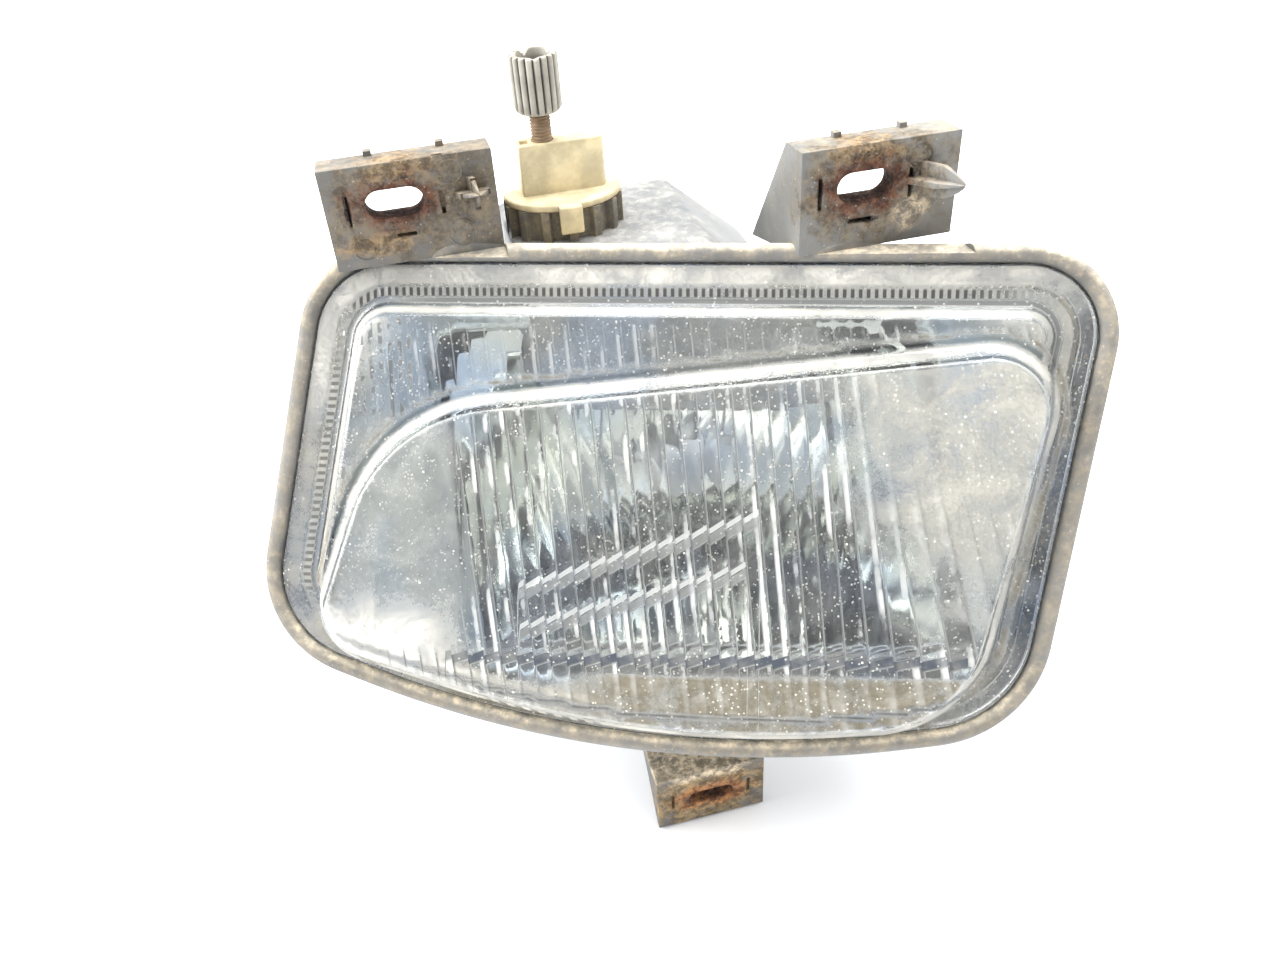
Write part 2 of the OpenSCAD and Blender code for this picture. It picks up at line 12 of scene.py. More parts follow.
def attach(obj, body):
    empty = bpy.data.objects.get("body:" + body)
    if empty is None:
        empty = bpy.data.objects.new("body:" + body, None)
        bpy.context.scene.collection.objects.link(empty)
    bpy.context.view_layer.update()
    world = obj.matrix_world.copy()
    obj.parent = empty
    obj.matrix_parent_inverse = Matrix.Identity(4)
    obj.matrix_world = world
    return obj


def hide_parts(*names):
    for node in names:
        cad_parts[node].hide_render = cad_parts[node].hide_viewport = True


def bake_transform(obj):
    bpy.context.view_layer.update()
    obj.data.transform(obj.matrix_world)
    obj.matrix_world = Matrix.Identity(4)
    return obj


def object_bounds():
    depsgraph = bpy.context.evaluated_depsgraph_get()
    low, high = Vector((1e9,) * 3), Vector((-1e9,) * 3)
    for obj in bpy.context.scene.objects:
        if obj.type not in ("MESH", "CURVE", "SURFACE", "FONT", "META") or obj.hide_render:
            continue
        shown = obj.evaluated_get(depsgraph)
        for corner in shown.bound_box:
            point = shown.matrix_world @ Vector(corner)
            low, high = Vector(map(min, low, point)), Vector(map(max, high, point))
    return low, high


MM = 0.001
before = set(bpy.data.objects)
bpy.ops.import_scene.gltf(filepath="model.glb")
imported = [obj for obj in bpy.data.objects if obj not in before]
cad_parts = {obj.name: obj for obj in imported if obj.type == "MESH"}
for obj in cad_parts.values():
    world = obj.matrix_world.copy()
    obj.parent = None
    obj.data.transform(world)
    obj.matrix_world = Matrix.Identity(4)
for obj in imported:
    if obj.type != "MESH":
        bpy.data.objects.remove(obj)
CAD_LOW, CAD_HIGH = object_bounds()

# ---------- the lens plane and its outlines, the same numbers as in the CAD source ----------

LENS_CENTRE = np.array([5.25, -13.5, -64.5])
RAKE, SWEEP = math.radians(28), math.radians(20)
LENS_U = np.array([math.cos(SWEEP), -math.sin(SWEEP), 0])
LENS_N = np.array([-math.sin(SWEEP) * math.cos(RAKE), -math.cos(SWEEP) * math.cos(RAKE), math.sin(RAKE)])
LENS_V = np.cross(LENS_N, LENS_U)
RIM = [(52.5, -28.4, 29.9), (71.9, 37.6, 20.4), (-70.9, 35.9, 23.6), (-80.3, -20.3, 26.0),
       (6.3, 195.6, 258.5)]
MAIN = [(39.6, -25.4, 30.5), (64.4, 21.5, 16.5), (-43.0, -17.6, 44.1), (-78.0, -27.6, 14.6),
        (9.1, 188.8, 246.7)]
OPENING = [(53.5, -32.5, 13), (46, 33, 8), (-57, 31, 8), (-45, -37.5, 7), (6.3, 195.6, 245.5)]
BACK_PLATE = [(46, -90, 26), (30, -80, 42), (-26, -60, 26), (-26, -90, 26)]
RIM_BACK = -10.0
SKIRT_OUT, SKIRT_IN, SKIRT_END = 4.6, 7.4, -4.0
FLANGE_TOP = 1.5
STEP_FOOT, STEP_EDGE, STEP_TOP = 13.5, 16.5, 5.0
BEVEL_RUN, LENS_TOP, CROWN = 4.8, 10.0, 1.6
GLASS_WALL = 2.8
APERTURE = 10.2
BACK_Y = 66.0
SCREW = (-13.0, 44.5)
COLLAR_X = -9.5
COLLAR_TOP = -9.5
KNOB_Z, KNOB_LEN, KNOB_R = 11.3, 12.8, 5.6
COLLAR_OVAL = 0.78
BUSH_BORE = 10.4
AXIS_X, AXIS_Z = 12.0, -74.0
FLUTE_PITCH = 3.95
FLUTE_DEPTH = 0.3
FLUTE_LEFT = -54.0
COLUMN_SPAN = 80.0
SLIT_OFF, BRACKET_EDGE = 10.4, 0.42
WEDGE_HEIGHT, WEDGE_TOP = 23.2, 9.7
SAW_RISE, SAW_HALF, SAW_DEPTH, SAW_REACH = 1.3, 1.3, 0.55, 20.0
# name, start u, start v, rise per mm, end u
SAW_LINES = [("saw_high", -40, -19, 0.33, 15), ("saw_low", -40, -28.6, 0.3, 12),
             ("saw_foot", -58, -34.6, 0.02, 62)]
# lower front left corner and width of each bracket's face, and the middle of its slot
RIGHT_CORNER, RIGHT_WIDTH, RIGHT_SLOT = (34.35, 0, -14), 36.2, (49.15, 0, 0)
LEFT_CORNER, LEFT_WIDTH, LEFT_SLOT = (-64.45, 30, -14), 38, (-49.15, 30, 0)
LOW_CORNER, LOW_WIDTH, LOW_SLOT = (-12.3, -29, -144.5), 30.3, (2.9, -29, -154.9)


def to_row(u, v, w):
    """Points of the lens frame, w out of the glass, as row frame millimetres."""
    u, v, w = np.broadcast_arrays(u, v, w)
    return LENS_CENTRE + u[..., None] * LENS_U + v[..., None] * LENS_V + w[..., None] * LENS_N


def taut_band(circles, count):
    """Evenly spaced points and outward normals of a band pulled tight round circles, anticlockwise."""
    points, normals = [], []
    n = len(circles)

    def tangent(a, b):
        dx, dy = b[0] - a[0], b[1] - a[1]
        return math.atan2(dy, dx) - math.acos((a[2] - b[2]) / math.hypot(dx, dy))

    for i, c in enumerate(circles):
        start = tangent(circles[i - 1], c)
        stop = tangent(c, circles[(i + 1) % n])
        span = (stop - start) % math.tau
        for t in np.linspace(0, 1, 120):
            a = start + span * t
            normals.append((math.cos(a), math.sin(a)))
            points.append((c[0] + c[2] * math.cos(a), c[1] + c[2] * math.sin(a)))
    points, normals = np.array(points), np.array(normals)
    points = np.vstack([points, points[:1]])
    normals = np.vstack([normals, normals[:1]])
    run = np.concatenate([[0], np.cumsum(np.linalg.norm(np.diff(points, axis=0), axis=1))])
    at = np.linspace(0, run[-1], count, endpoint=False)
    p = np.stack([np.interp(at, run, points[:, k]) for k in (0, 1)], 1)
    m = np.stack([np.interp(at, run, normals[:, k]) for k in (0, 1)], 1)
    return p, m / np.linalg.norm(m, axis=1)[:, None]


def depth_inside(q, band):
    """How far inside a convex band each point lies, negative outside."""
    p, m = band
    support = (p * m).sum(1)
    found = []
    for part in np.array_split(q, max(1, len(q) // 4000)):
        found.append((support[None, :] - part @ m.T).min(1))
    return np.concatenate(found)


def at_index(points, index):
    """Points of a closed outline at fractional indices."""
    whole = np.arange(len(points) + 1)
    return np.stack([np.interp(index, whole, np.append(points[:, k], points[0, k])) for k in (0, 1)], 1)


def smoothstep(x, low, high):
    t = np.clip((x - low) / (high - low), 0, 1)
    return t * t * (3 - 2 * t)


# ---------- mesh helpers ----------


def link(name, mesh):
    obj = bpy.data.objects.new(name, mesh)
    bpy.context.scene.collection.objects.link(obj)
    return obj


def raw_mesh(name, verts, faces):
    """A mesh object from row frame millimetres, normals outward."""
    mesh = bpy.data.meshes.new(name)
    mesh.from_pydata((np.asarray(verts, float) * MM).tolist(), [], [list(map(int, f)) for f in faces])
    mesh.validate()
    obj = link(name, mesh)
    bm = bmesh.new()
    bm.from_mesh(mesh)
    bmesh.ops.recalc_face_normals(bm, faces=bm.faces)
    bm.to_mesh(mesh)
    bm.free()
    return obj


def settle(obj):
    """Turns an object's modifiers into its mesh."""
    dg = bpy.context.evaluated_depsgraph_get()
    mesh = bpy.data.meshes.new_from_object(obj.evaluated_get(dg))
    old = obj.data
    obj.modifiers.clear()
    obj.data = mesh
    bpy.data.meshes.remove(old)
    return obj


def boolean(base, others, operation):
    for other in others:
        m = base.modifiers.new("boolean", "BOOLEAN")
        m.operation = operation
        m.solver = "EXACT"
        m.object = other
        settle(base)
        bpy.data.objects.remove(other)
    return base


def union(base, *others):
    return boolean(base, others, "UNION")


def cut(base, *others):
    return boolean(base, others, "DIFFERENCE")


def soften(obj, width, segments=3, angle=32):
    """Rounds an object's edges."""
    bm = bmesh.new()
    bm.from_mesh(obj.data)
    bmesh.ops.remove_doubles(bm, verts=bm.verts, dist=0.00001)
    bmesh.ops.dissolve_limit(bm, angle_limit=math.radians(1), verts=bm.verts, edges=bm.edges)
    bm.to_mesh(obj.data)
    bm.free()
    m = obj.modifiers.new("bevel", "BEVEL")
    m.width = width * MM
    m.segments = segments
    m.limit_method = "ANGLE"
    m.angle_limit = math.radians(angle)
    m.harden_normals = False
    m.use_clamp_overlap = True
    return settle(obj)


def finish_piece(obj, body, slot, material, *nodes, sharp=40):
    obj.data.materials.clear()
    obj.data.materials.append(material)
    obj.data.shade_smooth()
    obj.data.set_sharp_from_angle(angle=math.radians(sharp))
    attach(obj, body)
    if nodes:
        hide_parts(*nodes)
    return obj


def joined(name, objs):
    """One object from several, keeping their places."""
    bm = bmesh.new()
    for o in objs:
        bm.from_mesh(o.data)
        mesh = o.data
        bpy.data.objects.remove(o)
        bpy.data.meshes.remove(mesh)
    mesh = bpy.data.meshes.new(name)
    bm.to_mesh(mesh)
    bm.free()
    return link(name, mesh)


def grid_faces(rows, cols, close_rows=False, close_cols=True):
    """Quads of a grid of rows x cols points, index row * cols + col."""
    faces = []
    for r in range(rows if close_rows else rows - 1):
        for c in range(cols if close_cols else cols - 1):
            a, b = r * cols + c, r * cols + (c + 1) % cols
            d, e = ((r + 1) % rows) * cols + c, ((r + 1) % rows) * cols + (c + 1) % cols
            faces.append((a, b, e, d))
    return faces


def capped_faces(rows, cols):
    """A closed skin: quads between rings of points, with a flat face on the first and the last ring."""
    ends = [tuple(range(cols)), tuple(range((rows - 1) * cols, rows * cols))]
    return grid_faces(rows, cols) + ends


def lens_sweep(name, circles, profile, count=560):
    """A closed profile of (inset, w) points carried round an outline."""
    p, m = taut_band(circles, count)
    rows = [to_row(p[:, 0] - i * m[:, 0], p[:, 1] - i * m[:, 1], w) for i, w in profile]
    return raw_mesh(name, np.vstack(rows), grid_faces(len(profile), count, close_rows=True))


def prism(name, points, low, high, place):
    """A flat outline carried from height low to high; place maps (a, b, h) to the row frame."""
    n = len(points)
    verts = [place(a, b, low) for a, b in points] + [place(a, b, high) for a, b in points]
    faces = [tuple(range(n))[::-1], tuple(range(n, 2 * n))]
    faces += [(i, (i + 1) % n, n + (i + 1) % n, n + i) for i in range(n)]
    return raw_mesh(name, verts, faces)


def box(name, low, high):
    x0, y0, z0 = low
    x1, y1, z1 = high
    return prism(name, [(x0, y0), (x1, y0), (x1, y1), (x0, y1)], z0, z1, lambda a, b, h: (a, b, h))


def along(axis, origin):
    """A place function that carries an outline along a row axis from an origin."""
    ox, oy, oz = origin
    if axis == "x":
        return lambda a, b, h: (ox + h, oy + a, oz + b)
    if axis == "y":
        return lambda a, b, h: (ox + a, oy + h, oz + b)
    return lambda a, b, h: (ox + a, oy + b, oz + h)


def ring_points(radius, count=48):
    turns = [math.tau * i / count for i in range(count)]
    return [(radius * math.cos(t), radius * math.sin(t)) for t in turns]


def arc(radius, start, stop, count, middle=(0, 0)):
    """Points of an arc, from angle start to stop."""
    a, b = middle
    return [(a + radius * math.cos(t), b + radius * math.sin(t)) for t in np.linspace(start, stop, count)]


def lathe(name, profile, axis, origin, count=64):
    """A closed (radius, height) profile turned about a row axis; radii of 0 close the ends."""
    place = along(axis, origin)
    verts, index = [], []
    for r, h in profile:
        if r < 1e-6:
            index.append([len(verts)] * count)
            verts.append(place(0, 0, h))
        else:
            index.append(list(range(len(verts), len(verts) + count)))
            verts += [place(a, b, h) for a, b in ring_points(r, count)]
    faces = []
    n = len(profile)
    last = n if profile[0][0] > 1e-6 and profile[-1][0] > 1e-6 else n - 1
    for i in range(last):
        a, b = index[i], index[(i + 1) % n]
        for c in range(count):
            d = (c + 1) % count
            face = []
            for k in (a[c], a[d], b[d], b[c]):
                if k not in face:
                    face.append(k)
            if len(face) > 2:
                faces.append(tuple(face))
    return raw_mesh(name, verts, faces)


def slot_outline(r, length, count=14):
    """A slot with round ends, as (a, b) points about its centre."""
    half = length / 2 - r
    right = arc(r, -math.pi / 2, math.pi / 2, count, (half, 0))
    return right + [(-a, -b) for a, b in right]


def tube(name, path, radius, sides=16):
    """A round wire along a smooth path of row frame millimetre points."""
    path = np.asarray(path, float)
    ahead = np.gradient(path, axis=0)
    ahead /= np.linalg.norm(ahead, axis=1)[:, None]
    side = np.cross(ahead[0], (0.13, 0.31, 0.94))
    side /= np.linalg.norm(side)
    verts = []
    for p, t in zip(path, ahead):
        side = side - t * (side @ t)
        side /= np.linalg.norm(side)
        up = np.cross(t, side)
        for k in range(sides):
            a = math.tau * k / sides
            verts.append(p + radius * (math.cos(a) * side + math.sin(a) * up))
    return raw_mesh(name, verts, capped_faces(len(path), sides))


def smooth_path(points, steps=10):
    """A Catmull-Rom curve through points."""
    p = [np.asarray(q, float) for q in points]
    p = [2 * p[0] - p[1]] + p + [2 * p[-1] - p[-2]]
    found = []
    for i in range(1, len(p) - 2):
        for t in np.linspace(0, 1, steps, endpoint=False):
            a, b, c, d = p[i - 1:i + 3]
            found.append(0.5 * (2 * b + (c - a) * t + (2 * a - 5 * b + 4 * c - d) * t * t
                                + (3 * b - a - 3 * c + d) * t ** 3))
    found.append(p[-2])
    return found


# ---------- materials ----------


class Look:
    """A Principled material with short calls for the nodes that pattern it. Lengths are millimetres."""

    def __init__(self, name, **values):
        self.material = bpy.data.materials.new(name)
        self.material.use_nodes = True
        self.tree = self.material.node_tree
        self.shader = self.tree.nodes["Principled BSDF"]
        for key, value in values.items():
            self.shader.inputs[key.replace("_", " ")].default_value = value
        place = self.tree.nodes.new("ShaderNodeTexCoord")
        self.place = place.outputs["Object"]
        self.geometry = self.tree.nodes.new("ShaderNodeNewGeometry")

    def node(self, kind, inputs=(), **settings):
        made = self.tree.nodes.new(kind)
        for key, value in settings.items():
            setattr(made, key, value)
        for key, value in dict(inputs).items():
            if isinstance(value, bpy.types.NodeSocket):
                self.tree.links.new(value, made.inputs[key])
            else:
                made.inputs[key].default_value = value
        return made

    def stretched(self, x=1.0, y=1.0, z=1.0, turn=(0, 0, 0)):
        made = self.node("ShaderNodeMapping", {"Vector": self.place, "Scale": (x, y, z), "Rotation": turn})
        return made.outputs["Vector"]

    def noise(self, size, detail=3.0, rough=0.55, place=None, distortion=0.0):
        inputs = {"Vector": place or self.place, "Scale": 1 / (size * MM), "Detail": detail,
                  "Roughness": rough, "Distortion": distortion}
        return self.node("ShaderNodeTexNoise", inputs).outputs["Fac"]

    def cells(self, size):
        made = self.node("ShaderNodeTexVoronoi", {"Vector": self.place, "Scale": 1 / (size * MM)})
        return made.outputs["Distance"]

    def attribute(self, name):
        """A number that the mesh holds at each point."""
        made = self.node("ShaderNodeAttribute", attribute_name=name)
        return made.outputs["Fac"]

    def teeth(self, direction, pitch, low, high):
        """1 in the gaps of teeth that repeat along a row direction."""
        steps = tuple(c / (pitch * MM) for c in direction)
        run = self.node("ShaderNodeVectorMath", {0: self.place, 1: steps}, operation="DOT_PRODUCT")
        swing = self.node("ShaderNodeMath", {0: run.outputs["Value"], 1: 1.0}, operation="PINGPONG")
        return self.band(swing.outputs["Value"], low, high)

    def band(self, value, low, high, bottom=0.0, top=1.0):
        """bottom to top as value goes from low to high, eased at both ends."""
        inputs = {"Value": value, "From Min": low, "From Max": high, "To Min": bottom, "To Max": top}
        return self.node("ShaderNodeMapRange", inputs, interpolation_type="SMOOTHSTEP").outputs["Result"]

    def math(self, operation, a, b=0.0):
        made = self.node("ShaderNodeMath", {0: a, 1: b}, operation=operation)
        made.use_clamp = True
        return made.outputs["Value"]

    def times(self, a, b):
        """A product, kept between 0 and 1."""
        return self.math("MULTIPLY", a, b)

    def plus(self, a, b):
        """A sum, kept between 0 and 1."""
        return self.math("ADD", a, b)

    def sum(self, *terms):
        """Adds (value, factor) terms without a limit."""
        total = 0.0
        for value, factor in terms:
            made = self.node("ShaderNodeMath", {0: value, 1: factor, 2: total}, operation="MULTIPLY_ADD")
            total = made.outputs["Value"]
        return total

    def mix(self, factor, a, b):
        made = self.tree.nodes.new("ShaderNodeMix")
        made.data_type = "RGBA"
        for key, value in ((0, factor), (6, a), (7, b)):
            if isinstance(value, bpy.types.NodeSocket):
                self.tree.links.new(value, made.inputs[key])
            elif key == 0:
                made.inputs[0].default_value = value
            else:
                made.inputs[key].default_value = (*value, 1)
        return made.outputs[2]

    def facing(self, direction):
        """1 where the surface faces a row direction, 0 where it turns away."""
        made = self.node("ShaderNodeVectorMath", {0: self.geometry.outputs["Normal"], 1: direction},
                         operation="DOT_PRODUCT")
        return made.outputs["Value"]

    def near(self, centre, reach):
        """A ragged patch about a row point, reach is its half sizes; 1 inside."""
        soft, ragged, grain = 0.35, 0.25, 4.0
        shift = self.node("ShaderNodeVectorMath", {0: self.place, 1: tuple(-c * MM for c in centre)},
                          operation="ADD").outputs["Vector"]
        sized = self.node("ShaderNodeVectorMath", {0: shift, 1: tuple(1 / (r * MM) for r in reach)},
                           operation="MULTIPLY").outputs["Vector"]
        far = self.node("ShaderNodeVectorMath", {0: sized}, operation="LENGTH").outputs["Value"]
        rough = self.band(self.noise(grain, 4.0), 0.3, 0.7, -ragged, ragged)
        made = self.node("ShaderNodeMath", {0: far, 1: rough}, operation="ADD").outputs["Value"]
        return self.band(made, 1 - soft, 1 + soft, 1.0, 0.0)

    def most(self, a, b):
        return self.node("ShaderNodeMath", {0: a, 1: b}, operation="MAXIMUM").outputs["Value"]

    def colour(self, value):
        self.tree.links.new(value, self.shader.inputs["Base Color"])

    def drive(self, socket, value):
        self.tree.links.new(value, self.shader.inputs[socket])

    def bump(self, height, depth, strength=1.0):
        made = self.node("ShaderNodeBump", {"Height": height, "Distance": depth * MM, "Strength": strength})
        self.tree.links.new(made.outputs["Normal"], self.shader.inputs["Normal"])


def scaled(colour, *factors):
    """A colour made darker or lighter, once for each factor."""
    return [tuple(min(1, c * k) for c in colour) for k in factors]


DUST = (0.42, 0.35, 0.25)
PALE_DUST = (0.62, 0.56, 0.45)
MUD = (0.115, 0.088, 0.054)
RUST = (0.075, 0.027, 0.013)
DARK_RUST = (0.035, 0.017, 0.011)


def housing_look(name, base, dusty, dust=DUST, patches=(), drift_size=17, top_light_gain=1.5, spread=0.15):
    """Moulded grey plastic under road dust; dust on level tops is painted paler, as painted light from above.
    patches are (centre, reach, colour, strength).
    """
    look = Look(name, Roughness=0.55, Specular_IOR_Level=0.4)
    broad = look.noise(38, 4.0, 0.6, distortion=0.4)
    fine = look.noise(2.2, 5.0, 0.7)
    grain = look.noise(0.35, 2.0)
    shade = look.mix(look.band(broad, 0.35, 0.7), *scaled(base, 0.72, 1.25))
    up = look.band(look.facing((0.0, -0.35, 0.93)), -0.2, 1.0, 0.25, 1.0)
    middle = 0.51
    drift = look.times(look.band(look.noise(drift_size, 6.0, 0.65), middle - spread, middle + spread), up)
    speck = look.times(look.band(fine, 0.42, 0.62), 0.75)
    mask = look.times(look.plus(drift, look.times(speck, drift)), dusty)
    mask = look.plus(mask, look.times(look.band(fine, 0.5, 0.75), dusty * 0.35))
    tint = look.mix(look.band(look.noise(6, 3.0), 0.4, 0.62), *scaled(dust, 1, 1.25))
    # Painted light: the dust tint is made paler on level upward faces, as if lit from above.
    lit_top = look.band(look.facing((0, 0, 1)), 0.45, 0.95)
    tint = look.mix(lit_top, tint, tuple(min(0.8, c * top_light_gain) for c in dust))
    made = look.mix(mask, shade, tint)
    mottle = look.band(look.noise(2.6, 6.0, 0.75), 0.4, 0.6)
    for centre, reach, colour, strength in patches:
        spot = look.times(look.near(centre, reach), strength)
        thinnest = max(0.0, strength - 0.5)
        spot = look.times(spot, look.band(look.noise(1.5, 6.0, 0.78), 0.36, 0.54, thinnest, 1.0))
        made = look.mix(spot, made, look.mix(mottle, *scaled(colour, 0.6, 1.9)))
        mask = look.most(mask, spot)
    specks = look.band(look.cells(1.9), 0.07, 0.13, 1.0, 0.0)
    made = look.mix(look.times(specks, 0.35), made, PALE_DUST)
    scratch = look.band(look.noise(0.5, 2.0, 0.5, look.stretched(1, 0.06, 1, (0.3, 0.2, 0.5))), 0.68, 0.74)
    made = look.mix(look.times(scratch, 0.25), made, *scaled(base, 2.2))
    look.colour(made)
    look.drive("Roughness", look.band(mask, 0.0, 1.0, 0.42, 0.92))
    height = look.plus(look.times(mask, 0.5), look.plus(look.times(fine, 0.3), look.times(grain, 0.2)))
    look.bump(height, 0.28, 0.8)
    return look.material


GLASS_CLEAR, GLASS_BLUE = (0.96, 0.965, 0.93), (0.76, 0.85, 0.97)
FILM, FILM_DIRT, FILM_HIGHLIGHT = (0.44, 0.425, 0.37), (0.19, 0.165, 0.115), (0.72, 0.7, 0.64)
# Tones of painted highlight on the crests, painted shade in the furrows and other painted shade on the glass.
CREST_HIGHLIGHT, FURROW_SHADE, SHADE = (0.82, 0.82, 0.79), (0.075, 0.08, 0.085), (0.045, 0.055, 0.072)
SPECK, TEETH_SHADE = (0.7, 0.68, 0.62), (0.05, 0.048, 0.045)
TEETH_PITCH = {"teeth_top": 0.87, "teeth_left": 0.9, "teeth_low": 1.9}


def saw_marks(look, within, crest_highlight, shade):
    """Adds painted highlights along the saw-toothed ridges and painted shadow in the strip below each ridge.
    """
    for name, *_ in SAW_LINES:
        at_foot = name == "saw_foot"
        middle = (SAW_RISE - SAW_REACH) / 2
        away = look.sum((look.attribute(name), SAW_REACH), (within, -SAW_RISE), (1.0, middle))
        size = look.node("ShaderNodeMath", {0: away}, operation="ABSOLUTE").outputs["Value"]
        crest_highlight = look.most(crest_highlight, look.band(size, 0.5, 0.85, 0.4 if at_foot else 0.75, 0.0))
        shadow = look.times(look.band(away, -3.9, -2.7), look.band(away, -1.0, -0.7, 1.0, 0.0))
        shadow = look.times(shadow, look.band(look.noise(8, 4.0), 0.34, 0.6, 0.7, 1.0))
        shade = look.most(shade, look.times(shadow, 1.0 if at_foot else 0.6))
    return crest_highlight, shade


def glass_look():
    """Pressed glass. The lens mesh holds where its film, dirt, painted highlights and painted shade lie, with
    painted shade in the gaps of its teeth, and how its flutes run.
    """
    look = Look("lens_glass", IOR=1.5, Specular_IOR_Level=0.5)
    outside = look.band(look.facing(tuple(LENS_N)), -0.1, 0.1)
    cloud = look.band(look.noise(13, 7.0, 0.68, distortion=0.8), 0.32, 0.68, 0.6, 1.25)
    grain = look.band(look.noise(0.8, 4.0, 0.75), 0.3, 0.7, 0.84, 1.12)
    cover = look.times(look.times(look.attribute("film"), cloud), grain)
    dirt = look.times(look.attribute("dirt"), look.band(look.noise(4, 5.0, 0.65), 0.3, 0.6, 0.6, 1.2))
    tone = look.mix(dirt, FILM, FILM_DIRT)
    # A paler film tone, partly paler film and partly painted highlight.
    tone = look.mix(look.attribute("bright"), tone, FILM_HIGHLIGHT)

    column = look.sum((look.attribute("column"), COLUMN_SPAN))
    within = look.node("ShaderNodeMath", {0: column}, operation="FRACT").outputs["Value"]
    lit = look.band(look.noise(11, 4.0, 0.6, look.stretched(1, 1, 0.5)), 0.4, 0.62, 0.1, 1.0)
    fluted = look.attribute("fluted")
    # Painted highlight: a pale line along each flute's crest.
    crest_highlight = look.times(look.band(within, 0.5, 0.8), look.band(within, 0.88, 0.98, 1.0, 0.0))
    crest_highlight = look.times(crest_highlight, look.times(fluted, lit))
    # Painted shade: a dark line in each flute's furrow.
    furrow_shade = look.times(look.band(within, 0.03, 0.2, 1.0, 0.0), fluted)
    crest_highlight, shade = saw_marks(look, within, crest_highlight, look.attribute("shade"))
    cover = look.most(cover, look.times(crest_highlight, 0.62))
    tone = look.mix(crest_highlight, tone, CREST_HIGHLIGHT)
    cover = look.most(cover, look.times(furrow_shade, 0.5))
    tone = look.mix(look.times(furrow_shade, 0.85), tone, FURROW_SHADE)
    # Painted shade: dark strokes across the upper left corner of the glass.
    strokes = look.teeth(tuple(LENS_U), 1.15, 0.4, 0.65)
    strokes = look.times(strokes, look.band(look.noise(2.4, 4.0), 0.45, 0.55))
    shade = look.most(shade, look.times(look.times(strokes, look.attribute("corner")), 0.8))
    cover = look.most(cover, look.times(shade, 0.85))
    tone = look.mix(shade, tone, SHADE)

    some = look.band(look.noise(7, 4.0, 0.6), 0.38, 0.6, 0.2, 1.0)
    small = look.band(look.cells(1.25), 0.13, 0.25, 0.55, 0.0)
    speck = look.times(look.most(small, look.band(look.cells(2.6), 0.07, 0.13, 0.85, 0.0)), some)
    cover = look.times(look.most(cover, speck), outside)
    tone = look.mix(look.band(speck, 0.05, 0.4), tone, SPECK)
    # Painted shade: the gaps between the knurl's teeth and the toothed edge low on the bevel are painted
    # dark.
    gap = 0.0
    for name, pitch in TEETH_PITCH.items():
        direction = LENS_V if name == "teeth_left" else LENS_U
        low = 0.4 if name == "teeth_low" else 0.45
        gap = look.most(gap, look.times(look.attribute(name), look.teeth(tuple(direction), pitch, low, 0.6)))
    cover = look.most(cover, look.times(gap, 0.8))
    tone = look.mix(gap, tone, TEETH_SHADE)

    clear = look.mix(look.band(look.noise(24, 2.0, 0.5), 0.48, 0.64, 0.0, 0.8), GLASS_CLEAR, GLASS_BLUE)
    look.colour(look.mix(look.band(cover, 0.05, 0.6), clear, tone))
    look.drive("Transmission Weight", look.band(cover, 0.0, 1.0, 1.0, 0.0))
    look.drive("Roughness", look.band(cover, 0.0, 0.8, 0.03, 0.75))
    look.bump(look.noise(11, 2.0), 0.05, 0.25)
    return look.material


def metal_look(name, colour, rough, spots=0.3, dust=0.2, metal=1.0):
    look = Look(name, Metallic=metal, Roughness=rough)
    blotch = look.band(look.noise(9, 5.0, 0.65), 0.38, 0.7)
    tone = look.mix(look.times(blotch, spots), *scaled(colour, 1, 0.55))
    grime = look.band(look.noise(1.6, 5.0, 0.7), 0.52, 0.72, 0.0, dust)
    tone = look.mix(grime, tone, DUST)
    line = look.band(look.noise(0.4, 2.0, 0.5, look.stretched(1, 0.05, 0.4)), 0.62, 0.72, 0.0, 0.3)
    tone = look.mix(line, tone, *scaled(colour, 1.4))
    look.colour(tone)
    look.drive("Roughness", look.band(look.most(grime, look.times(blotch, 0.5)), 0.0, 1.0,
                                      rough, min(1.0, rough + 0.45)))
    look.drive("Metallic", look.band(grime, 0.2, 0.9, metal, metal * 0.3))
    look.bump(look.plus(look.times(line, 0.5), look.times(grime, 0.5)), 0.05, 0.6)
    return look.material


def mirror_look(name, rough, haze, tone):
    """Vacuum metal on plastic: nearly a mirror, with a faint film of dust and small pits."""
    look = Look(name, Metallic=1.0, Roughness=rough)
    film = look.band(look.noise(20, 5.0, 0.6), 0.35, 0.75, 0.0, haze)
    pits = look.band(look.cells(2.4), 0.05, 0.09, haze, 0.0)
    dull = look.most(film, pits)
    look.colour(look.mix(dull, tone, (0.36, 0.36, 0.32)))
    look.drive("Roughness", look.band(dull, 0.0, 1.0, rough, 0.7))
    look.bump(look.noise(14, 3.0), 0.12, 0.35)
    return look.material


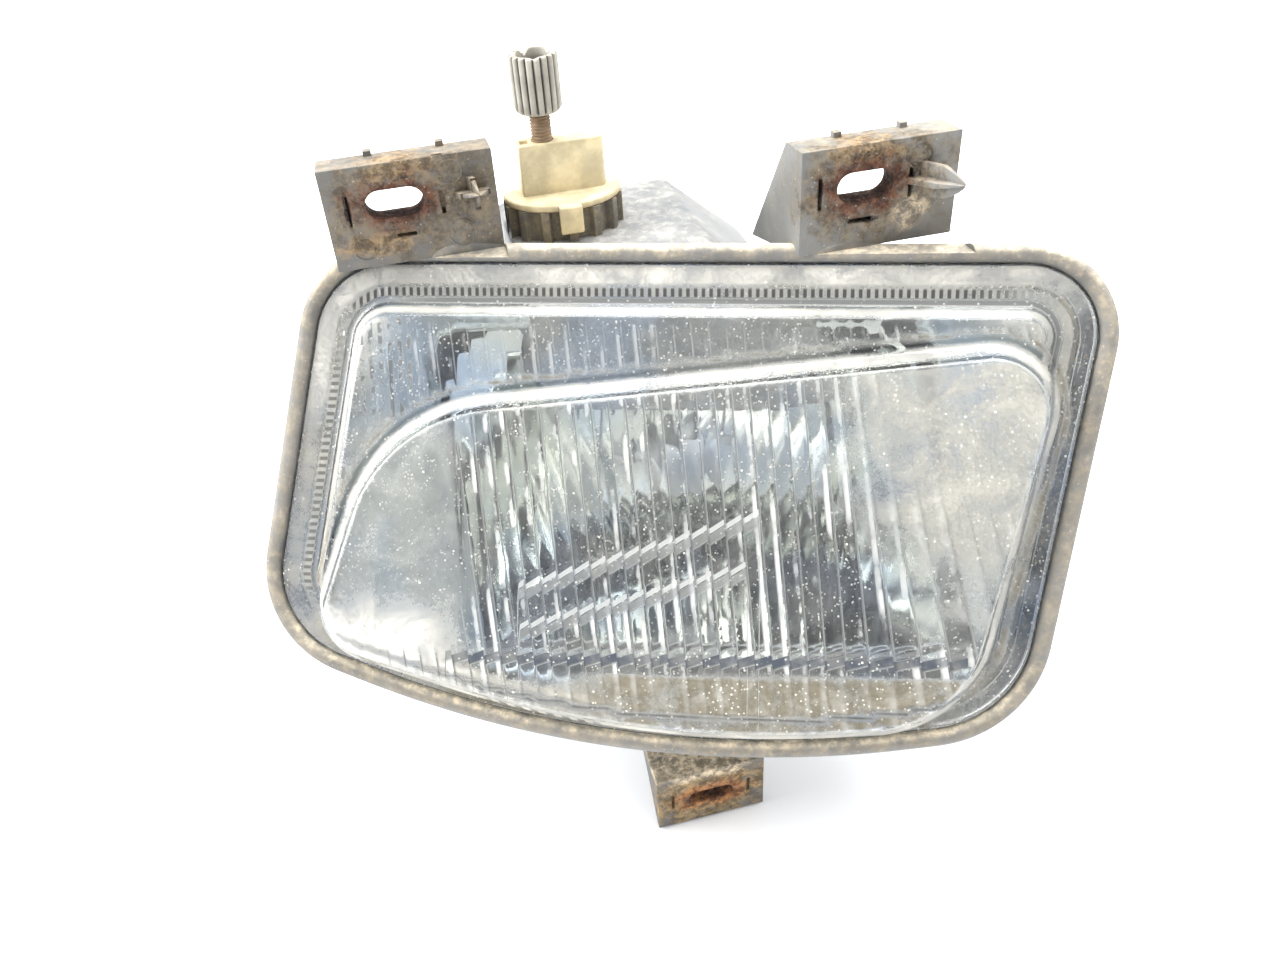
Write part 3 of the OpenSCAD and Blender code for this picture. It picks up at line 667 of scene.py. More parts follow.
def plastic_look(name, colour, rough, dust=0.4, dust_colour=DUST, groove=None):
    look = Look(name, Roughness=rough, Specular_IOR_Level=0.45)
    tone = look.mix(look.band(look.noise(8, 4.0, 0.6), 0.35, 0.7), *scaled(colour, 0.75, 1.2))
    # Dust settles on upward faces; for the cream plastic its pale dust there is partly painted light from
    # above.
    settle_up = look.band(look.facing((0, 0, 1)), -0.4, 0.9, 0.3, 1.0)
    grime = look.times(look.band(look.noise(3.1, 6.0, 0.7), 0.4, 0.68, 0.0, dust), settle_up)
    tone = look.mix(grime, tone, dust_colour)
    if groove:
        # Painted shade: near black where the groove attribute is high, in the knob's flute grooves and its
        # hollow.
        tone = look.mix(look.band(look.attribute(groove), 0.1, 0.8, 0.0, 0.85), tone, (0.045, 0.04, 0.035))
    look.colour(tone)
    look.drive("Roughness", look.band(grime, 0.0, 1.0, rough, 0.95))
    look.bump(look.plus(look.times(look.noise(0.4, 2.0), 0.3), grime), 0.12, 0.6)
    return look.material


def sealant_look():
    look = Look("sealant", Roughness=0.5)
    tone = look.mix(look.band(look.noise(5, 4.0), 0.4, 0.65), (0.02, 0.026, 0.045), (0.1, 0.11, 0.13))
    look.colour(look.mix(look.band(look.noise(1.2, 4.0), 0.5, 0.7, 0.0, 0.6), tone, DUST))
    look.bump(look.noise(1.4, 3.0), 0.3, 0.7)
    return look.material


def clear_bulb_look():
    look = Look("bulb_glass", Transmission_Weight=1.0, IOR=1.45)
    smoke = look.band(look.noise(6, 3.0), 0.4, 0.8)
    look.colour(look.mix(look.times(smoke, 0.3), (0.97, 0.98, 0.98), (0.75, 0.74, 0.72)))
    look.drive("Roughness", look.band(smoke, 0.0, 1.0, 0.01, 0.08))
    return look.material


BLUE_GREY = (0.085, 0.098, 0.112)
CRUST = (0.17, 0.12, 0.068)
# Painted shade in the brackets' slits.
SLIT_SHADE = (0.012, 0.008, 0.006)
TAN_MUD, ORANGE_RUST = (0.2, 0.14, 0.07), (0.25, 0.1, 0.035)


def bracket_patches(x, y, deep=1.0):
    """Mud over the middle of an upper bracket's face, rust round its slot and crust above it, and painted
    shade in its slits.
    """
    slits = [((x + dx, y + 1, -0.5), (0.7, 3, 3.7), SLIT_SHADE, 1.0) for dx in (-SLIT_OFF, SLIT_OFF)]
    return [((x + 2, y, 0), (18, 9, 12), MUD, 0.85 * deep), ((x, y, 7.3), (9.5, 9, 2.4), CRUST, 0.95),
            ((x, y + 1, 0), (10.2, 6, 6.6), RUST, 1.0), ((x, y + 2.5, 0), (8.2, 4.5, 4.9), DARK_RUST, 0.9),
            *slits, ((x, y + 1, -7.6), (3.7, 3, 0.7), SLIT_SHADE, 1.0)]


PATCHES_RIGHT = bracket_patches(*RIGHT_SLOT[:2]) + [((60, 3, -7.5), (4, 9, 4), DUST, 0.6)]
PATCHES_LEFT = bracket_patches(*LEFT_SLOT[:2], 0.85) + [((-55, 30, -9), (8, 9, 2.6), CRUST, 0.9),
                                                        ((-31, 30, 0), (8, 9, 13), MUD, 0.5)]
PATCHES_LOW = [(LOW_SLOT, (17, 9, 12), TAN_MUD, 1.0), ((2.9, -29, -154.5), (10, 9, 5), ORANGE_RUST, 0.9),
               ((2.9, -27, -154.9), (7.4, 5, 3.0), DARK_RUST, 0.95), ((3, -20, -145), (17, 14, 3), DUST, 0.9)]

LOOKS = {
    "rim": housing_look("rim_plastic", (0.13, 0.132, 0.132), 0.9, (0.275, 0.238, 0.178), drift_size=5,
                        top_light_gain=2.9, spread=0.4),
    "body": housing_look("body_plastic", (0.16, 0.172, 0.182), 0.5, (0.32, 0.305, 0.27), drift_size=11,
                         spread=0.42),
    "right": housing_look("right_bracket_plastic", (0.155, 0.158, 0.155), 0.5, (0.2, 0.17, 0.12),
                          PATCHES_RIGHT, drift_size=6, top_light_gain=2.2, spread=0.22),
    "left": housing_look("left_bracket_plastic", (0.105, 0.105, 0.1), 0.55, (0.18, 0.145, 0.1),
                         PATCHES_LEFT, drift_size=6, top_light_gain=2.2, spread=0.22),
    "low": housing_look("lower_bracket_plastic", BLUE_GREY, 0.6, (0.2, 0.16, 0.1), PATCHES_LOW, drift_size=6),
    "glass": glass_look(),
    "sealant": sealant_look(),
    "trim": mirror_look("silver_trim", 0.34, 0.7, (0.33, 0.36, 0.37)),
    "mirror": mirror_look("mirror_coat", 0.06, 0.32, (0.8, 0.82, 0.79)),
    "steel": metal_look("steel", (0.6, 0.6, 0.6), 0.3),
    "shield": metal_look("shield_metal", (0.4, 0.41, 0.43), 0.35),
    "bulb": clear_bulb_look(),
    "filament": metal_look("filament", (0.35, 0.35, 0.36), 0.4),
    "bulb_metal": metal_look("bulb_metal", (0.66, 0.62, 0.52), 0.3),
    "contact": metal_look("contact_metal", (0.75, 0.6, 0.32), 0.25),
    "spring": metal_look("spring_steel", (0.55, 0.55, 0.57), 0.3),
    "black": plastic_look("black_plastic", (0.03, 0.031, 0.033), 0.45, 0.3),
    "red_wire": plastic_look("red_wire", (0.32, 0.03, 0.02), 0.5),
    "black_wire": plastic_look("black_wire", (0.02, 0.02, 0.022), 0.5),
    "rubber": plastic_look("seal_rubber", (0.03, 0.03, 0.032), 0.75, 0.5),
    "orange": plastic_look("orange_rubber", (0.42, 0.13, 0.04), 0.6, 0.4),
    # The cream plastic's pale dust on upward faces is partly dust, partly painted light from above.
    "cream": plastic_look("cream_plastic", (0.64, 0.54, 0.33), 0.5, 0.5, (0.78, 0.7, 0.5)),
    "dull": metal_look("dull_steel", (0.3, 0.21, 0.13), 0.6, 0.6, 0.8, metal=0.5),
    "pale": plastic_look("pale_plastic", (0.37, 0.35, 0.3), 0.5, 0.5, (0.22, 0.18, 0.12), groove="groove"),
    "ribs": housing_look("collar_plastic", (0.15, 0.14, 0.12), 0.85, (0.27, 0.22, 0.14), drift_size=4),
    "nylon": plastic_look("nylon", (0.72, 0.68, 0.58), 0.45, 0.3),
}


# ---------- housing ----------


def bracket_notch(corner, width, ahead):
    """Room in the rim in front of an upper bracket, so that its face stands clear down to its foot."""
    x, y, z = corner
    return box("notch", (x, y - ahead, z), (x + width, y - 0.05, 0))


def make_rim():
    back, tongue = RIM_BACK, -1.5
    outside = [(3.0, back - 1), (1.6, back - 0.4), (0.5, back + 0.6), (0.05, back + 2), (0, -6), (0, 0.2)]
    lip = [(0.18, 1.1), (0.6, 1.85), (1.2, 2.3), (1.9, 2.5), (2.9, 2.48), (3.6, 2.25), (4.05, 1.7),
           (4.2, 0.9)]
    channel = [(4.2, -6), (8.2, -6), (8.2, tongue - 0.5), (8.4, tongue - 0.1), (8.8, tongue), (9.6, tongue),
               (10, tongue - 0.1), (APERTURE, tongue - 0.5), (APERTURE, back - 1)]
    rim = lens_sweep("rim", RIM, outside + lip + channel, 720)
    cut(rim, bracket_notch(RIGHT_CORNER, RIGHT_WIDTH, 12), bracket_notch(LEFT_CORNER, LEFT_WIDTH, 20))
    return finish_piece(rim, "lamp", "grey_plastic", LOOKS["rim"], "housing")


def make_body():
    """The bucket behind the rim, lofted from the lens outline back to the rear plate."""
    count, layers = 480, 30
    centre, half = (10, -74), (62, 42)
    p, m = taut_band(RIM, count)
    q, _ = taut_band(BACK_PLATE, 2000)
    a0 = p.mean(0)
    angle_p = np.arctan2((p[:, 1] - a0[1]) / 52, (p[:, 0] - a0[0]) / 92)
    angle_q = np.arctan2((q[:, 1] - centre[1]) / half[1], (q[:, 0] - centre[0]) / half[0])
    order = np.argsort(angle_q)
    unwrapped = np.concatenate([angle_q[order] - math.tau, angle_q[order], angle_q[order] + math.tau])
    tiled = np.concatenate([q[order]] * 3)
    plate_x = np.interp(angle_p, unwrapped, tiled[:, 0])
    plate_z = np.interp(angle_p, unwrapped, tiled[:, 1])

    def ring(inset_front, w, inset_back, y, t):
        front = to_row(p[:, 0] - inset_front * m[:, 0], p[:, 1] - inset_front * m[:, 1], w)
        shrink = 1 - inset_back / 45
        back = np.stack([centre[0] + (plate_x - centre[0]) * shrink, np.full(count, y),
                         centre[1] + (plate_z - centre[1]) * shrink], 1)
        share = np.array([1 - (1 - t) ** 1.25, t, 1 - (1 - t) ** 1.25])
        return front * (1 - share) + back * share

    outer = [ring(2.6, RIM_BACK + 1.2, 0, BACK_Y - 3, t) for t in np.linspace(0, 1, layers)]
    for a in np.linspace(0, math.pi / 2, 7)[1:]:
        r = 3.0
        outer.append(ring(0, 0, r * (1 - math.cos(a)), BACK_Y - 3 + r * math.sin(a), 1))
    hole = np.array([(AXIS_X + 31 * math.cos(a), BACK_Y, AXIS_Z + 31 * math.sin(a)) for a in angle_p])
    last = outer[-1]
    for t in (0.25, 0.5, 0.75, 1.0):
        outer.append(last * (1 - t) + hole * t)
    inner_hole = hole + np.array([0, -2.5, 0])
    inner_last = ring(0, 0, 5, BACK_Y - 2.5, 1)
    inner = [inner_hole * (1 - t) + inner_last * t for t in (0, 0.5, 1.0)]
    inner += [ring(6.0, RIM_BACK - 0.5, 2.6, BACK_Y - 4, t) for t in np.linspace(1, 0, layers)]
    rows = outer + inner
    body = raw_mesh("body_shell", np.vstack(rows), grid_faces(len(rows), count, close_rows=True))
    cut(body, oval_prism("bush_hole", ring_points(BUSH_BORE, 64), -60, 5), hump_hollow())
    return finish_piece(body, "lamp", "grey_plastic", LOOKS["body"], "housing", sharp=35)


def oval_prism(name, points, low, high):
    """A prism about the collar's middle, flattened front to back as the collar is."""
    flat = [(a, b * COLLAR_OVAL) for a, b in points]
    return prism(name, flat, low, high, along("z", (COLLAR_X, SCREW[1], 0)))


def behind_lens(solid, w):
    """Keeps the part of a solid that lies behind height w of the lens frame."""
    front = prism("front", [(-160, -110), (160, -110), (160, 110), (-160, 110)], w, 130,
                  lambda a, b, h: tuple(to_row(np.float64(a), np.float64(b), np.float64(h))))
    return cut(solid, front)


def hump_hollow():
    """The room inside the hump, open down into the bucket."""
    hollow = prism("hollow", [(-22, -60), (-22, -19), (20, -19), (40, -36), (43, -60)], 14, BACK_Y - 3.5,
                   along("y", (0, 0, 0)))
    return behind_lens(hollow, -11)


def make_hump():
    """The raised box over the adjuster, its front sloped like the lens."""
    points = [(-24, -50), (-24, -17), (21, -17), (42, -35), (46, -50)]
    hump = behind_lens(prism("hump", points, -6, BACK_Y - 1, along("y", (0, 0, 0))), -6.4)
    soften(hump, 1.6, 4)
    cut(hump, hump_hollow(), oval_prism("bore", ring_points(BUSH_BORE, 64), -60, 5))
    return finish_piece(hump, "lamp", "grey_plastic", LOOKS["body"], "housing")


def make_collar():
    """The ring under the bush, with upright ribs round it and a dirty channel between them."""
    ribs, radius, core, base = 14, 14.5, 12.6, -18.2
    ring = oval_prism("collar", ring_points(core, 96), base, COLLAR_TOP)
    for i in range(ribs):
        a = math.tau * (i + 0.5) / ribs
        corners = [(r * math.cos(a) - s * math.sin(a), r * math.sin(a) + s * math.cos(a))
                   for r, s in ((core - 1, -1.0), (radius, -1.0), (radius, 1.0), (core - 1, 1.0))]
        union(ring, oval_prism("rib", corners, base, COLLAR_TOP))
    cut(ring, oval_prism("bore", ring_points(BUSH_BORE, 64), base - 1, COLLAR_TOP + 1))
    soften(ring, 0.3, 2, 30)
    return finish_piece(ring, "lamp", "grey_plastic", LOOKS["ribs"], "housing", sharp=30)


def wedge_bracket(name, corner, width, foot_depth, drop, slot_x):
    """A hollow wedge bracket, open at the back, with a slot, thin slits and two ribs."""
    x0, y0, z0 = corner
    wall = 2.2
    side = [(0, 0), (foot_depth, -drop), (WEDGE_TOP, WEDGE_HEIGHT - 0.8), (0, WEDGE_HEIGHT)]
    shell = prism(name, side, 0, width, along("x", corner))
    inner_foot = wall * 0.8 - drop * (foot_depth + 2) / foot_depth
    end, ceiling = foot_depth + 2, WEDGE_HEIGHT - wall
    room = [(wall, wall * 0.8), (end, inner_foot), (end, ceiling), (wall, ceiling)]
    cut(shell, prism("inside", room, wall, width - wall, along("x", corner)))
    back, top, rib_foot = y0 + WEDGE_TOP, z0 + WEDGE_HEIGHT, z0 + WEDGE_HEIGHT * 0.55
    for part in (0.3, 0.72):
        x = x0 + width * part
        union(shell, box("rib", (x - 0.6, y0 + wall - 0.5, rib_foot), (x + 0.6, back - 1.4, top - 1.5)))
        union(shell, box("nub", (x - 0.9, back - 2.4, top - 3), (x + 0.9, back - 0.6, top + 0.6)))
    at_slot = (slot_x, y0, 0)
    union(shell, prism("boss", slot_outline(5.3, 17), 0.3, 5.5, along("y", at_slot)))
    cutters = [prism("slot", slot_outline(3.3, 13, 20), -2, 9, along("y", at_slot))]
    slit_half, slit_depth = 0.45, 1.6
    for dx in (-SLIT_OFF, SLIT_OFF):
        x = slot_x + dx
        cutters.append(box("slit", (x - slit_half, y0 - 1, -4), (x + slit_half, y0 + slit_depth, 3)))
    cutters.append(box("slit", (slot_x - 3.5, y0 - 1, -8), (slot_x + 3.5, y0 + slit_depth, -7.1)))
    cut(shell, *cutters)
    return soften(shell, BRACKET_EDGE, 3, 30)


def ejector_mark(x, y, z, radius):
    """A shallow raised ring that an ejector pin leaves on a moulded face."""
    section = [(-0.3, 0.2), (-0.22, -0.16), (-0.05, -0.24), (0.14, -0.16), (0.25, 0.2)]
    return lathe("mark", [(radius + r, h) for r, h in section], "y", (x, y, z), 48)


def locating_pin(x, y, length, lean, rise):
    """A pin shaped like a plus sign in section, tapering to a point; it leans right and up by degrees."""
    half, thick = 3.7, 0.65
    outline = []
    arm = [(thick, thick), (thick, half), (-thick, half)]
    for _ in range(4):
        outline += arm
        arm = [(-b, a) for a, b in arm]
    lean, rise = math.radians(lean), math.radians(rise)
    ahead = np.array([math.sin(lean), -math.cos(lean) * math.cos(rise), math.sin(rise)])
    ahead /= np.linalg.norm(ahead)
    side = np.cross(ahead, (0, 0, 1))
    side /= np.linalg.norm(side)
    up = np.cross(side, ahead)
    levels = [(-1.5, 1.0), (length * 0.55, 0.93), (length - 4.5, 0.82), (length - 2.0, 0.5),
              (length - 0.4, 0.2), (length, 0.06)]
    verts = []
    for h, scale in levels:
        for a, b in outline:
            verts.append(np.array([x, y, 0]) + ahead * h + (side * a + up * b) * scale)
    pin = raw_mesh("pin", verts, capped_faces(len(levels), len(outline)))
    return soften(pin, 0.22, 2, 40)


def crust(x, y, z, half_x, half_z, seed):
    """A ragged crust of dried mud on a bracket's face, thickest in the middle."""
    cols, rows = int(half_x * 5), int(half_z * 6)
    verts, count = [], (cols + 1) * (rows + 1)
    for layer in (0, 1):
        for j in range(rows + 1):
            for i in range(cols + 1):
                a, b = 2 * i / cols - 1, 2 * j / rows - 1
                place = Vector((a * half_x, b * half_z, seed))
                ragged = 0.5 * noise.fractal(place * 0.9, 0.8, 2.2, 4)
                body = max(0.0, 1.0 - (a * a + b * b) ** 1.2 + ragged - 0.2)
                rise = min(1.0, 1.3 * body) * (0.6 + 0.5 * noise.fractal(place * 2.1, 0.7, 2.1, 3))
                depth = 0.3 if layer else 0.25 - rise
                verts.append((x + a * half_x, y + depth, z + b * half_z))
    faces = grid_faces(rows + 1, cols + 1, close_cols=False)
    faces += [tuple(k + count for k in reversed(f)) for f in faces]
    wide = cols + 1
    edge = list(range(wide)) + [j * wide + cols for j in range(1, rows + 1)]
    edge += [rows * wide + i for i in range(cols - 1, -1, -1)] + [j * wide for j in range(rows - 1, 0, -1)]
    faces += [(a, b, b + count, a + count) for a, b in zip(edge, edge[1:] + edge[:1])]
    return raw_mesh("crust", verts, faces)


# x, z and radius of each ejector ring; x, z, half width and half height of each mud crust
MARKS_RIGHT = [(59.7, -7.9, 2.9), (61.3, 5, 2.9)]
MARKS_LEFT = [(-35.5, -9, 3.1), (-36.2, 5.3, 2.7), (-57.5, -9.5, 2.7)]
MUD_RIGHT = [(50, 6.7, 9, 2.2), (58.5, -6.6, 2.4, 1.7), (40.5, -7, 2.2, 1.6), (61.4, 1.5, 1.2, 5.5),
             (53.5, -6.8, 2.6, 1.3)]
MUD_LEFT = [(-48, 5.6, 8.5, 1.8), (-55.5, -8.4, 5.5, 2.2), (-38.4, 3.5, 1.2, 6.0), (-61, -1, 1.4, 4.5)]


def upper_bracket(side, shell, y, pin, marks, mud, first_seed):
    """Joins a wedge bracket with its locating pin, ejector rings and dried mud."""
    extras = [ejector_mark(x, y, z, radius) for x, z, radius in marks]
    for seed, (x, z, half_x, half_z) in enumerate(mud, first_seed):
        extras.append(crust(x, y, z, half_x, half_z, float(seed)))
    whole = joined(f"bracket_{side}", [shell, pin, *extras])
    finish_piece(whole, "lamp", "grey_plastic", LOOKS[side], "housing", sharp=35)


def make_brackets():
    x, y, _ = RIGHT_SLOT
    shell = wedge_bracket("bracket_right", RIGHT_CORNER, RIGHT_WIDTH, 31, 7.5, x)
    upper_bracket("right", shell, y, locating_pin(61.95, y, 12.5, 18, 8), MARKS_RIGHT, MUD_RIGHT, 1)
    x, y, _ = LEFT_SLOT
    shell = wedge_bracket("bracket_left", LEFT_CORNER, LEFT_WIDTH, 26, 6.5, x)
    upper_bracket("left", shell, y, locating_pin(-32.15, y, 9, 7, 14), MARKS_LEFT, MUD_LEFT, 6)
    height, leg, wall = 20, 24.5, 2.2
    side = [(0, 0), (10, 0), (12, leg), (24, leg), (18, 0), (1.8, -height), (0, -height)]
    low = prism("bracket_low", side, 0, LOW_WIDTH, along("x", LOW_CORNER))
    room = [(wall, -wall), (10 + wall, -wall), (12 + wall, leg + 1), (30, leg + 1), (30, -height - 1),
            (wall, -height + wall)]
    cut(low, prism("inside", room, wall, LOW_WIDTH - wall, along("x", LOW_CORNER)))
    union(low, prism("boss", slot_outline(4.2, 14), 0.3, 5, along("y", LOW_SLOT)))
    cutters = [prism("slot", slot_outline(2.2, 12.4, 16), -2, 10, along("y", LOW_SLOT))]
    for x in (-7.9, 13.5):
        cutters.append(box("slit", (x - 0.4, -30, -157.5), (x + 0.4, -27.4, -152)))
    cut(low, *cutters)
    soften(low, BRACKET_EDGE, 3, 30)
    finish_piece(low, "lamp", "grey_plastic", LOOKS["low"], "housing", sharp=35)


def make_neck():
    inner, outer, end = 30, 33, 80
    profile = [(inner, BACK_Y - 4), (outer - 0.4, BACK_Y - 4), (outer, BACK_Y + 0.6), (outer, end - 0.6),
               (outer - 0.4, end), (inner + 0.4, end), (inner, end - 0.4)]
    neck = lathe("neck", profile, "y", (AXIS_X, 0, AXIS_Z), 128)
    return finish_piece(neck, "lamp", "grey_plastic", LOOKS["body"], "housing")


make_rim()
make_body()
make_hump()
make_collar()
make_brackets()
make_neck()

# ---------- glass ----------


def rounded_profile(points, radius, reach):
    """A height over distance table through points, its corners rounded."""
    x = np.arange(reach[0], reach[1], 0.05)
    y = np.interp(x, [p[0] for p in points], [p[1] for p in points])
    t = np.arange(-3 * radius, 3 * radius, 0.05)
    kernel = np.exp(-0.5 * (t / radius) ** 2)
    pad = len(kernel) // 2
    padded = np.concatenate([np.full(pad, y[0]), y, np.full(pad, y[-1])])
    smooth = np.convolve(padded, kernel / kernel.sum(), "same")[pad:-pad]
    return x, smooth


FAR = 60
STEP_CORNERS = [(0, FLANGE_TOP), (STEP_FOOT, FLANGE_TOP), (STEP_EDGE, STEP_TOP), (FAR, STEP_TOP)]
MAIN_CORNERS = [(-4, -8), (0, FLANGE_TOP - 1.5), (0.7, 3.2), (BEVEL_RUN, LENS_TOP), (FAR, LENS_TOP)]
STEP_TABLE = rounded_profile(STEP_CORNERS, 0.35, (0, FAR))
MAIN_TABLE = rounded_profile(MAIN_CORNERS, 0.32, (-4, FAR))
RIM_BAND = taut_band(RIM, 720)
MAIN_BAND = taut_band(MAIN, 720)


def smooth_max(a, b, k):
    h = np.clip(0.5 + 0.5 * (a - b) / k, 0, 1)
    return b * (1 - h) + a * h + k * h * (1 - h)


def outer_height(q):
    in_rim = depth_inside(q, RIM_BAND)
    in_main = depth_inside(q, MAIN_BAND)
    low = np.interp(in_rim, *STEP_TABLE)
    high = np.interp(in_main, *MAIN_TABLE) + CROWN * (1 - (1 - np.clip((in_main - 4) / 34, 0, 1)) ** 2)
    return smooth_max(low, high, 0.6), in_rim, in_main


def flute_lean(column):
    """Flutes stand nearly upright at the left and fan out to the right of the division."""
    return 0.1 + 0.24 * smoothstep(column, 6, 16)


def flute_u(column, v):
    return FLUTE_PITCH * column - flute_lean(column) * (v - 30)


def flute_column(q):
    column = q[:, 0] / FLUTE_PITCH
    for _ in range(12):
        column = column - (flute_u(column, q[:, 1]) - q[:, 0]) / FLUTE_PITCH * 0.8
    return column


def flute_reach(q, in_rim, in_main):
    """Flute number at each point, and how far the flutes reach inside and around the raised middle."""
    in_block = smoothstep(q[:, 0], FLUTE_LEFT - 0.6, FLUTE_LEFT + 0.6)
    in_block = np.maximum(in_block, smoothstep(-q[:, 1], 33, 37) * smoothstep(q[:, 0], -76, -70))
    plain = smoothstep(q[:, 0], 36, 44) * smoothstep(q[:, 1] + 0.35 * (q[:, 0] - 40), 2, 14)
    inside = smoothstep(in_main, 4.6, 5.6) * in_block * (1 - 0.85 * plain)
    around = smoothstep(in_rim, STEP_EDGE + 0.5, STEP_EDGE + 2) * smoothstep(-in_main, 0.6, 1.4)
    return flute_column(q), inside, around


def flute_depth(q, in_rim, in_main):
    column, inside, around = flute_reach(q, in_rim, in_main)
    u, v = q[:, 0], q[:, 1]
    s = column - np.floor(column)
    bow = 4 * s * (1 - s)
    wedge = 0.5 + 0.5 * smoothstep(u, -25, 15) * (1 - smoothstep(u, 15, 45))
    ridges = 0
    for _, start_u, start_v, rise, end_u in SAW_LINES:
        line = start_v + rise * (u - start_u) + SAW_RISE * (s - 0.5)
        reach = smoothstep(u, start_u - 2, start_u + 1) * (1 - smoothstep(u, end_u - 2, end_u + 1))
        ridges = ridges + reach * np.clip(1 - np.abs(v - line) / SAW_HALF, 0, 1)
    return FLUTE_DEPTH * (bow + wedge * s) * np.maximum(inside, 0.7 * around) + SAW_DEPTH * ridges * inside


def knurl_depth(q, in_rim):
    """Small teeth in a strip of the flange's underside, along the top and the left."""
    strip = smoothstep(in_rim, 9.4, 9.8) * (1 - smoothstep(in_rim, 11.9, 12.3))
    where = smoothstep(q[:, 1] - 0.25 * q[:, 0], 0, 20)
    along_edge = np.where(np.abs(q[:, 1]) > 30, q[:, 0], q[:, 1])
    teeth = 0.5 + 0.5 * np.cos(math.tau * along_edge / 1.8)
    return 0.55 * strip * where * teeth


def bump_of(x, low, high, soft):
    """1 between low and high, falling to 0 over a soft edge."""
    return smoothstep(x, low - soft, low + soft) * (1 - smoothstep(x, high - soft, high + soft))


def film_cover(q, in_rim, in_main):
    """What lies on the glass at each point, each 0 to 1: film, dirt, teeth, painted highlight and painted
    shade, and where the flutes run.
    """
    u, v = q[:, 0], q[:, 1]
    right = smoothstep(u, 56, 80)
    left = smoothstep(-u, 56, 80)
    top = smoothstep(v, 12, 30)
    clean_right = right * (1 - smoothstep(v, 40, 56))
    flange = (0.6 - 0.44 * clean_right - 0.2 * left * (1 - top)) * (1 - smoothstep(in_rim, 9.2, 10.0))
    flange = flange * smoothstep(in_rim, 4.4, 5.4)
    knurl = 0.45 * bump_of(in_rim, 9.8, 12.2, 0.3)
    # Painted shade: a dark ring on the glass at the foot of the step, held in the shade attribute.
    gap_shade = bump_of(in_rim, 12.4, 13.8, 0.25) * (1 - left * 0.5)
    step = (0.7 - 0.3 * clean_right) * bump_of(in_rim, 14.2, 16.2, 0.35)
    between = smoothstep(in_rim, 16.2, 17.0) * (1 - smoothstep(in_main, -1.5, 0))
    corner_haze = smoothstep(-u - 0.8 * np.abs(v - 42), 62, 84)
    haze = between * (0.16 + 0.34 * right * top + 0.6 * corner_haze + 0.15 * (1 - top) * left)
    foot = bump_of(in_main, -2.0, -0.3, 0.5)
    bevel = 0.52 * bump_of(in_main, 0.9, 3.7, 0.6)
    inner_line = 0.5 * bump_of(in_main, 4.6, 5.3, 0.35)
    inside = smoothstep(in_main, 4.8, 5.8)
    low_strip = smoothstep(-v + 0.02 * (u - 25), 38.0, 39.5) * smoothstep(u, -50, -10)
    plain_left = 1 - smoothstep(u, FLUTE_LEFT - 2, FLUTE_LEFT + 2)
    plain_right = smoothstep(u + 0.3 * v, 26, 56) * smoothstep(v, -44, 6)
    low_left = smoothstep(-v, 18, 31) * smoothstep(-u, 48, 68)
    middle = inside * (0.16 + 0.34 * low_left + 0.1 * plain_left + 0.42 * plain_right + 0.45 * low_strip)
    film = np.maximum.reduce([flange, knurl, step, haze, 0.5 * foot, bevel, inner_line, middle])
    film = film * (1 - 0.75 * gap_shade)
    dirt = foot * 0.8 + 0.9 * low_strip * inside + 0.75 * bump_of(in_rim, 4.4, 6.0, 0.5)
    dirt = (dirt + 0.4 * flange * (1 - top)) * (1 - 0.8 * low_left)
    # Partly paler film, partly painted highlight: the bevel, the inner line, the upper step and flange, the
    # upper left corner and the lower left.
    bevel_highlight = bevel * 1.15 * (1 - 0.3 * clean_right)
    bright = np.maximum.reduce([bevel_highlight, 0.9 * step * top, corner_haze * between, 0.9 * flange * top,
                                inner_line])
    bright = np.maximum(bright, low_left * inside)
    corner = between * smoothstep(-u, 60, 68) * bump_of(v, 18, 44, 4)
    strip = bump_of(in_rim, 9.9, 12.1, 0.2)
    teeth_top = strip * smoothstep(v, 42, 46) * (1 - 0.6 * smoothstep(u, 60, 76))
    teeth_left = 0.8 * strip * smoothstep(-u, 80, 86) * (1 - smoothstep(v, 40, 46)) * smoothstep(v, -34, -20)
    comb = smoothstep(u, -52, -48) * (1 - smoothstep(u, -26, -18)) * smoothstep(-v, 30, 34)
    teeth_low = 0.8 * comb * bump_of(in_main, 1.0, 3.0, 0.3)
    column, inside_flutes, around_flutes = flute_reach(q, in_rim, in_main)
    fluted = inside_flutes * (1 - 0.7 * plain_right) * (1 - 0.8 * low_strip)
    fluted = np.maximum(fluted, 0.6 * around_flutes)
    found = {"film": film, "dirt": dirt, "bright": bright, "teeth_top": teeth_top, "teeth_left": teeth_left,
             "teeth_low": teeth_low, "shade": 0.7 * gap_shade, "corner": corner, "fluted": fluted,
             "column": column / COLUMN_SPAN + 0.5}
    for name, start_u, start_v, rise, end_u in SAW_LINES:
        away = v - start_v - rise * (u - start_u)
        reach = smoothstep(u, start_u - 1, start_u) * (1 - smoothstep(u, end_u, end_u + 1)) * inside
        found[name] = np.where(reach > 0.5, away / SAW_REACH + 0.5, 1.0)
    return found


def ring_cloud(band, depths, spacing, keep):
    """Points on inset copies of an outline."""
    p, m = band
    perimeter = np.linalg.norm(p - np.roll(p, 1, 0), axis=1).sum()
    count = int(perimeter / spacing)
    index = np.linspace(0, len(p), count, endpoint=False)
    base, normal = at_index(p, index), at_index(m, index)
    cloud = []
    for i, d in enumerate(depths):
        ring = base - d * normal
        if i % 2:
            ring = (ring + np.roll(ring, 1, 0)) / 2
        cloud.append(ring)
    cloud = np.vstack(cloud)
    return cloud[keep(cloud)]


